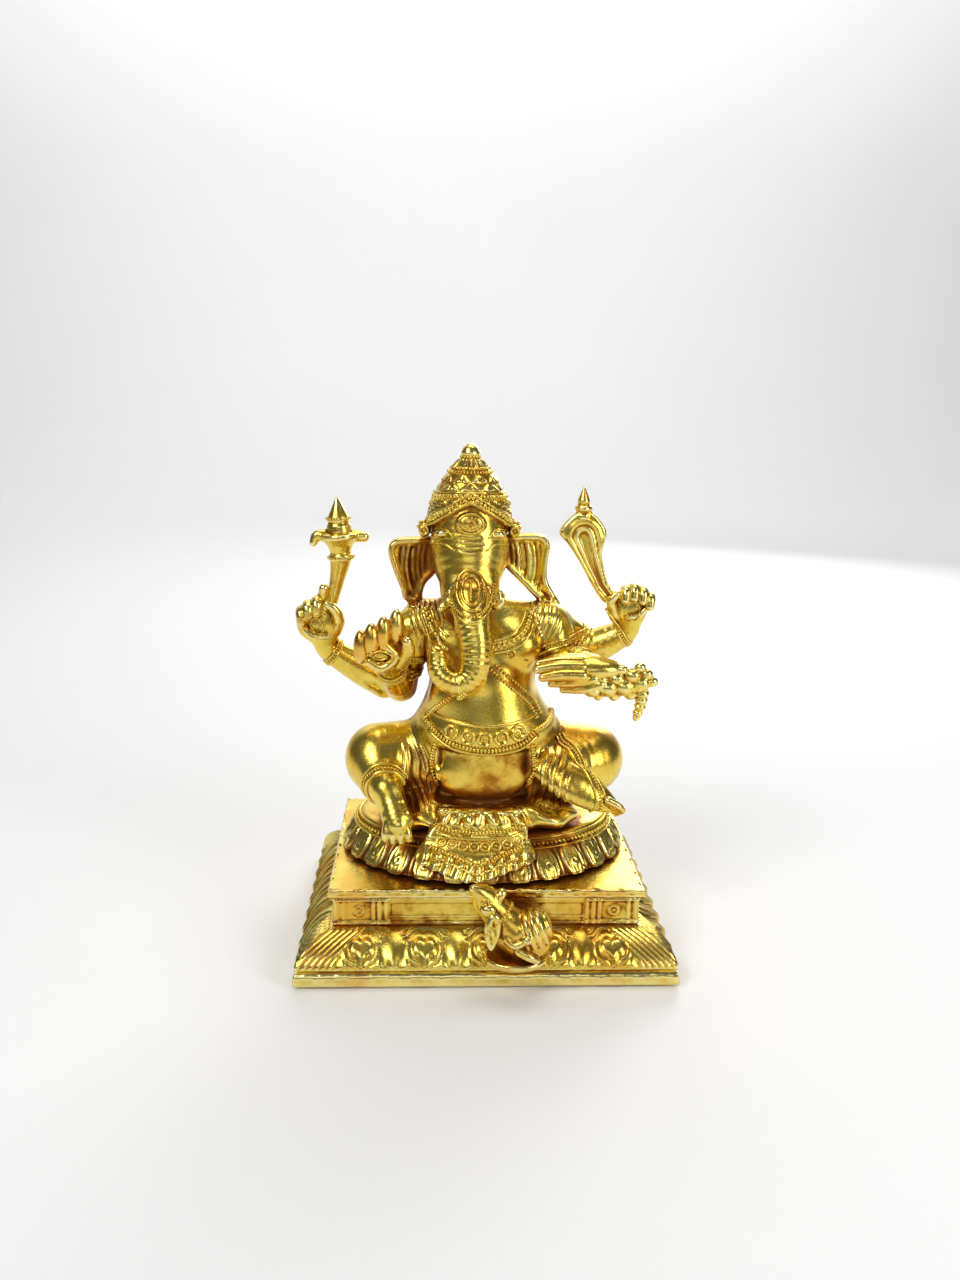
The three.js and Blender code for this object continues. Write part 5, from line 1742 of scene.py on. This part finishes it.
class IDOL_OT_body(bpy.types.Operator):
    """Casts the torso, the legs and the apron, and dresses them with belt, threads and bands"""
    bl_idname = "idol.body"
    bl_label = "Torso, legs and apron"

    def execute(self, context):
        made = cast(["torso", "right_leg", "left_leg", "apron_panel"])
        on = lambda points, steps=8, lift=0.15: front_path(FIGURE, points, steps, lift)
        torso = made["torso"]
        rope = [on([(-15.6, 62.6), (-10, 59), (-1, 57.5), (8, 58.7), (13.2, 62)])]
        side_ropes = [on([(-13.9, 57.6), (-14.8, 51.5), (-13.2, 45.4)]),
                      on([(11.9, 57.8), (12.6, 51.5), (11, 45.4)])]
        threads = [on([(0.6, 78), (6, 73.4), (10.6, 68.8), (13.2, 64.6)]),
                   on([(1.9, 79), (7.2, 74.4), (11.8, 69.6), (14.4, 65.2)])]
        belly = [on([(-6.4, 74.6), (-10.4, 70.6), (-14, 66.8), (-16, 64)])]
        collars = [on([(-17, 91.6), (-15, 87.4), (-11.6, 84.6)]),
                   on([(1, 83.8), (5.4, 84.9), (9.4, 87.4), (11.8, 91)])]
        sash = [on([(13, 61.8), (16, 62.4), (18.8, 63.8)]), on([(-15.6, 62.4), (-17, 63.6)])]
        torso.add_ornament(beads(rope + sash, 0.95, 0.9, 0.52), FIGURE)
        torso.add_ornament(beads(side_ropes + belly, 0.9, 0.85, 0.55), FIGURE)
        torso.add_ornament(beads(threads, 0.95, 0.58, 0.75), FIGURE)
        torso.add_ornament(beads(collars, 1.45, 0.9, 0.8), FIGURE)
        lines = [on([(-15.4, 65.6), (-8, 64.5), (-1, 64), (6, 64.4), (13, 65.4)]),
                 on([(-15.8, 60.9), (-10, 57.6), (-1, 56.1), (8, 57.3), (13.4, 60.4)]),
                 on([(-18.2, 90.6), (-16.2, 86.2), (-12, 83.1)]),
                 on([(-15.6, 92), (-13.8, 88.6), (-10.8, 86)]),
                 on([(1, 82.2), (6, 83.3), (10.6, 86.2), (13.2, 90.2)]),
                 on([(1, 85.3), (5, 86.4), (8.4, 88.6), (10.4, 91.6)])]
        torso.add_ornament(wires(lines, 0.5), FIGURE)
        bosses(FIGURE, torso, [(-9.8, 61.9), (-5.4, 61.1), (-1, 60.8), (3.4, 61.1), (7.8, 61.9)], 1.9)
        bosses(FIGURE, torso, [(5.8, 82)], 1.25)
        right = made["right_leg"]
        shin = unit(np.array([0.6, -6, -1.0]))
        anklets = [ring_path(FIGURE, RIGHT_ANKLE - shin * t, shin, 7.5, 10, 250) for t in (1.2, 2.5, 3.8)]
        right.add_ornament(wires([anklets[0], anklets[2]], 0.5), FIGURE)
        right.add_ornament(beads([anklets[1]], 0.85, 0.52, 0.8), FIGURE)
        left = made["left_leg"]
        way = unit(np.array([-11, -10, 2.4]))
        cuffs = [ring_path(FIGURE, LEFT_ANKLE - way * t, way, 8, 0, 240) for t in (3.4, 4.7, 6.0)]
        left.add_ornament(wires([cuffs[0], cuffs[2]], 0.42), FIGURE)
        left.add_ornament(beads([cuffs[1]], 0.85, 0.55, 0.75), FIGURE)
        apron = made["apron_panel"]
        arc = [on([(-13.4, 37), (-8, 36.4), (-2, 36.1), (4, 36.4), (9.6, 37)])]
        vee = [on([(-15, 32.4), (-9, 31), (-2.6, 29.4), (3.6, 31), (9.6, 32.4)])]
        apron.add_ornament(beads(arc + vee, 0.9, 0.85, 0.55), FIGURE)
        apron.add_ornament(wires([on([(-13.8, 35.6), (-8, 34.9), (-2, 34.6), (4, 34.9), (10, 35.6)]),
                                  on([(-14, 30.6), (-8, 29), (-2.8, 27.4), (2.6, 29), (8.4, 30.6)])],
                                 0.42), FIGURE)
        bosses(FIGURE, apron, [(-12.2 + 2.9 * i, 32.9 + 0.06 * (i - 3.5) ** 2) for i in range(8)], 1.25)
        finish_all(made)
        return {"FINISHED"}


class IDOL_OT_head(bpy.types.Operator):
    """Casts the head, trunk, ears and crown with their bands and beads"""
    bl_idname = "idol.head"
    bl_label = "Head, ears and crown"

    def execute(self, context):
        made = cast(["head", "trunk", "right_ear", "left_ear", "crown"])
        on = lambda points, steps=8, lift=0.12: front_path(FIGURE, points, steps, lift)
        head = made["head"]
        oval = lambda cx, cz, rx, rz, lift=0.12: on_oval(cx, cz, rx, rz, 17, lift)
        head.add_ornament(wires([oval(HEAD_X, 116.1, 3.2, 2.4)], 0.4), FIGURE)
        head.add_ornament(beads([oval(HEAD_X, 116.1, 2.2, 1.6)], 0.9, 0.36), FIGURE)
        bosses(FIGURE, head, [(HEAD_X, 116.1)], 0.9)
        head.add_ornament(wires([oval(HEAD_X, 99.8, 3.5, 4.7), oval(HEAD_X, 99.8, 2.2, 3.3)], 0.44), FIGURE)
        head.add_ornament(beads([on([(HEAD_X, 101.8), (HEAD_X, 97.8)], 8)], 0.8, 0.45, 1.3), FIGURE)
        for side in (-1, 1):
            x = HEAD_X + side * EYE_X
            eye = [(x - 2.6, 112.9 - 0.5 * side), (x - 0.9, 114.3), (x + 0.9, 114.2),
                   (x + 2.6, 112.9 + 0.5 * side),
                   (x + 0.9, 112), (x - 0.9, 112), (x - 2.6, 112.9 - 0.5 * side)]
            head.add_ornament(wires([on(eye, 4)], 0.26), FIGURE)
            head.add_ornament(wires([on([(x - 3.2, 109.4 - 0.3 * side), (x, 110.7),
                                         (x + 3.2, 109.4 + 0.3 * side)], 5)], 0.32), FIGURE)
        cheeks = [on([(-10.4, 98), (-8.6, 94.9), (HEAD_X, 93.7), (-2, 94.9), (0.4, 98.2), (1, 100.6)])]
        head.add_ornament(beads(cheeks, 0.8, 0.5, 0.62), FIGURE)
        head.add_ornament(wires([on([(-10.2, 96), (-8.4, 93.4), (HEAD_X, 92.2), (-2, 93.4), (0.6, 96)])],
                                0.4), FIGURE)
        crown = made["crown"]
        hoop = lambda z, reach, tilt=0.32, lift=0.1: ring_path(
            FIGURE, (HEAD_X, CROWN_Y, z), (0, tilt, 1), reach, 0, 362, lift, 90)
        crown.add_ornament(beads([brow_path(1.5)], 1.2, 0.62, 0.85), FIGURE)
        crown.add_ornament(wires([brow_path(0.45), brow_path(2.6)], 0.42), FIGURE)
        crown.add_ornament(beads([hoop(122.2, 13, 0.06)], 0.9, 0.6, 0.62), FIGURE)
        crown.add_ornament(beads([hoop(128.6, 9, 0), hoop(132.6, 6, 0)], 0.85, 0.5, 0.7), FIGURE)
        crown.add_ornament(wires([hoop(123.2, 12.5, 0.06), hoop(129.7, 8.5, 0)], 0.34), FIGURE)
        for way in (-1, 1):
            t = np.linspace(-1.5, 1.5, 50)
            z = 121.2 - 3.4 * (1 - np.cos(t)) + way * 2.3 * np.sin(1.15 * t)
            starts = np.column_stack([HEAD_X + 14 * np.sin(t), CROWN_Y - 14 * np.cos(t), z])
            p, found = onto(FIGURE, starts, np.column_stack([-np.sin(t), np.cos(t), 0 * t]), 12)
            crown.add_ornament(beads([p[found]], 0.8, 0.58, 0.62), FIGURE)
        for side in (-1, 1):
            bosses(FIGURE, head, [(HEAD_X + side * 12.1, 113.2)], 1.1)
        finish_all(made)
        return {"FINISHED"}


class IDOL_OT_arms(bpy.types.Operator):
    """Casts the four arms, the goad, the noose and the sweet, with bracelets and armlets"""
    bl_idname = "idol.arms"
    bl_label = "Arms and emblems"

    def execute(self, context):
        made = cast(["right_front_arm", "left_front_arm", "right_rear_arm", "left_rear_arm",
                     "goad", "noose", "sweet_strand"])
        for part, first, shares in (
                ("right_rear_arm", 1, (0.9, 0.97)), ("left_rear_arm", 1, (0.86, 0.98)),
                ("left_rear_arm", 0, (0.62, 0.72)), ("right_front_arm", 1, (0.82, 0.94)),
                ("right_rear_arm", 0, (0.5, 0.57)), ("left_front_arm", 1, (0.62, 0.74)),
                ("left_front_arm", 0, (0.45, 0.6)), ("right_front_arm", 0, (0.42, 0.5))):
            self.bands(made[part], *ARMS[part][first:first + 2], shares)
        goad = made["goad"]
        goad.add_ornament(beads([front_path(FIGURE, [(-42.3, 93.5), (-41, 99), (-39.9, 104.6)])], 0.75, 0.36),
                          FIGURE)
        rings = [ring_path(FIGURE, (-39.7 - 0.06 * h, 0.5, 105.2 + h), (-0.06, 0, 1), 7.5, 0, 362, 0.1, 36)
                 for h in (0.2, 10.6)]
        goad.add_ornament(beads(rings, 0.8, 0.42, 0.8), FIGURE)
        palms = [on_oval(-46.6, 87.2, 2.4, 3.0), on_oval(-46.6, 87.2, 1.3, 1.9)]
        made["right_rear_arm"].add_ornament(wires(palms, 0.32), FIGURE)
        made["left_rear_arm"].add_ornament(wires([on_oval(39.6, 92.2, 1.9, 2.6)], 0.3), FIGURE)
        made["right_front_arm"].add_ornament(wires([on_oval(-28.4, 82.6, 3.4, 1.7),
                                                    on_oval(-28.4, 82.6, 1.8, 0.8)], 0.36), FIGURE)
        finish_all(made)
        return {"FINISHED"}

    def bands(self, casting, start, end, shares):
        """A bead row between two wires round a forearm or an upper arm."""
        start, end = np.array(start, float), np.array(end, float)
        rows = [ring_path(FIGURE, start + (end - start) * s, end - start, 6.4, 0, 300)
                for s in (shares[0], sum(shares) / 2, shares[1])]
        casting.add_ornament(wires([rows[0], rows[2]], 0.42), FIGURE)
        casting.add_ornament(beads([rows[1]], 0.8, 0.46, 0.8), FIGURE)


def brow_path(above):
    """Path round the crown at a height above its pointed lower edge."""
    t = np.linspace(-math.pi, math.pi, 120)
    x, y = np.sin(t), -np.cos(t)
    z = crown_brim(11 * x, CROWN_Y + 11 * y) + above
    starts = np.column_stack([HEAD_X + 14 * x, CROWN_Y + 14 * y, z])
    p, found = onto(FIGURE, starts, np.column_stack([-x, -y, 0 * x]), 12)
    p = p[found]
    return p + 0.1 * FIGURE.normal(p)


def on_oval(cx, cz, rx, rz, count=13, lift=0.12):
    """Path round an oval on the figure."""
    return front_path(FIGURE, [(cx + rx * math.cos(t), cz + rz * math.sin(t))
                               for t in np.linspace(0, 2 * math.pi, count)], 3, lift)


class IDOL_OT_mouse(bpy.types.Operator):
    """Casts the mouse and its plate"""
    bl_idname = "idol.mouse"
    bl_label = "Mouse"

    def execute(self, context):
        made = cast(["mouse_plate", "mouse"], MOUSE_CLAY)
        mouse = made["mouse"]
        eye = MOUSE + (-8.2, 0, 15.6)
        bosses(MOUSE_CLAY, mouse, [(eye[0], eye[2])], 0.95)
        collar = [ring_path(MOUSE_CLAY, MOUSE + (-4.2, 1.2, 10.4), (-4, 1, 4), 8, 0, 300)]
        mouse.add_ornament(beads(collar, 0.85, 0.45, 0.8), MOUSE_CLAY)
        finish_all(made)
        return {"FINISHED"}


class IDOL_OT_seat_bolt(bpy.types.Operator):
    """Gives the stud, the washer and the nut under the seat their metals"""
    bl_idname = "idol.seat_bolt"
    bl_label = "Seat bolt"

    def execute(self, context):
        brass, zinc = bare_brass(), zinc_steel()
        for name, metal in (("seat_stud", brass), ("seat_washer", zinc), ("seat_nut", zinc)):
            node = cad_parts[name]
            for slot in node.material_slots:
                slot.material = metal
        return {"FINISHED"}


class IDOL_OT_stage(bpy.types.Operator):
    """Lays the pale floor and sets the camera and the soft lights"""
    bl_idname = "idol.stage"
    bl_label = "Stage"

    def execute(self, context):
        scene = context.scene
        look = scene.idol_stage
        mesh = bpy.data.meshes.new("floor")
        span, back, r = 2.4, 1.5, 0.5
        rows = [(-span, 0.0), (0.4, 0.0)]
        rows += [(back - r + r * math.sin(t), r - r * math.cos(t)) for t in np.linspace(0, math.pi / 2, 9)]
        rows += [(back, span)]
        points = [(x, y, z - FLOOR_DROP) for y, z in rows for x in (-span, span)]
        faces = [(2 * i, 2 * i + 1, 2 * i + 3, 2 * i + 2) for i in range(len(rows) - 1)]
        mesh.from_pydata(points, [], faces)
        for polygon in mesh.polygons:
            polygon.use_smooth = True
        mesh.materials.append(floor_paint())
        floor = bpy.data.objects.new("floor", mesh)
        scene.collection.objects.link(floor)
        world = bpy.data.worlds.new("room")
        world.use_nodes = True
        background = world.node_tree.nodes["Background"]
        background.inputs[0].default_value = (1, 1, 1, 1)
        background.inputs[1].default_value = look.sky
        scene.world = world
        self.camera(scene, look)
        for name, place, aim, width, height, share in (
                ("key_box", (-0.42, -0.42, 0.62), (0, 0, 0.06), 0.34, 0.34, 1),
                ("fill_box", (0.5, -0.4, 0.30), (0, 0, 0.06), 0.22, 0.4, 0.55),
                ("top_box", (0.05, 0.12, 0.72), (0, 0, 0.06), 0.5, 0.3, 0.6),
                ("front_box", (-0.05, -0.72, 0.4), (0, 0, 0.06), 0.5, 0.3, 0.2),
                ("wash_box", (0, 0.55, 1.5), (0, 1.5, 1.2), 1.8, 0.5, 9),
                ("rim_box", (0.25, 0.6, 0.35), (0, 0, 0.08), 0.3, 0.4, 0.6)):
            self.light(scene, name, place, aim, width, height, look.key * share)
        scene.view_settings.view_transform = "Standard"
        return {"FINISHED"}

    def camera(self, scene, look):
        data = bpy.data.cameras.new("camera")
        data.lens, data.sensor_width = look.lens, 36.0
        data.clip_start, data.clip_end = 0.01, 10
        camera = bpy.data.objects.new("camera", data)
        scene.collection.objects.link(camera)
        yaw, pitch, roll = (math.radians(a) for a in CAMERA_TURN)
        right = Vector((math.cos(yaw), -math.sin(yaw), 0))
        ahead = Vector((math.sin(yaw) * math.cos(pitch), math.cos(yaw) * math.cos(pitch), -math.sin(pitch)))
        down = ahead.cross(right)
        c, s = math.cos(roll), math.sin(roll)
        x_axis, y_axis = c * right + s * down, -(-s * right + c * down)
        turn = Matrix((x_axis, y_axis, -ahead)).transposed().to_4x4()
        place = Vector((np.array(CAMERA_AT) + PLACE) * MM)
        camera.matrix_world = Matrix.Translation(place) @ turn
        scene.camera = camera

    def light(self, scene, name, place, aim, width, height, power):
        data = bpy.data.lights.new(name, "AREA")
        data.shape, data.size, data.size_y, data.energy = "RECTANGLE", width, height, power
        lamp = bpy.data.objects.new(name, data)
        scene.collection.objects.link(lamp)
        lamp.location = place
        lamp.rotation_euler = (Vector(aim) - Vector(place)).to_track_quat("-Z", "Y").to_euler()


class IDOL_PT_panel(bpy.types.Panel):
    """Lists the idol's castings and finishes"""
    bl_idname = "IDOL_PT_panel"
    bl_label = "Idol"
    bl_space_type = "VIEW_3D"
    bl_region_type = "UI"
    bl_category = "Idol"

    def draw(self, context):
        for group in (context.scene.idol_finish, context.scene.idol_detail, context.scene.idol_stage):
            box = self.layout.box()
            for name in group.bl_rna.properties.keys():
                if name not in ("rna_type", "name"):
                    box.prop(group, name)
        for operator in OPERATORS:
            self.layout.operator(operator.bl_idname)


OPERATORS = (IDOL_OT_plinth, IDOL_OT_lotus_seat, IDOL_OT_body, IDOL_OT_head, IDOL_OT_arms,
             IDOL_OT_mouse, IDOL_OT_seat_bolt, IDOL_OT_stage)
GROUPS = (("idol_finish", IdolFinish), ("idol_detail", IdolDetail), ("idol_stage", IdolStage))


def register():
    """Registers the settings, the operators and the panel."""
    for name, group in GROUPS:
        bpy.utils.register_class(group)
        setattr(bpy.types.Scene, name, PointerProperty(type=group))
    for item in (*OPERATORS, IDOL_PT_panel):
        bpy.utils.register_class(item)


def unregister():
    """Takes away what register adds."""
    for item in reversed((*OPERATORS, IDOL_PT_panel)):
        bpy.utils.unregister_class(item)
    for name, group in reversed(GROUPS):
        delattr(bpy.types.Scene, name)
        bpy.utils.unregister_class(group)


def main():
    """Runs every operator in order."""
    register()
    for operator in OPERATORS:
        group, name = operator.bl_idname.split(".")
        getattr(getattr(bpy.ops, group), name)()


if __name__ == "__main__":
    main()
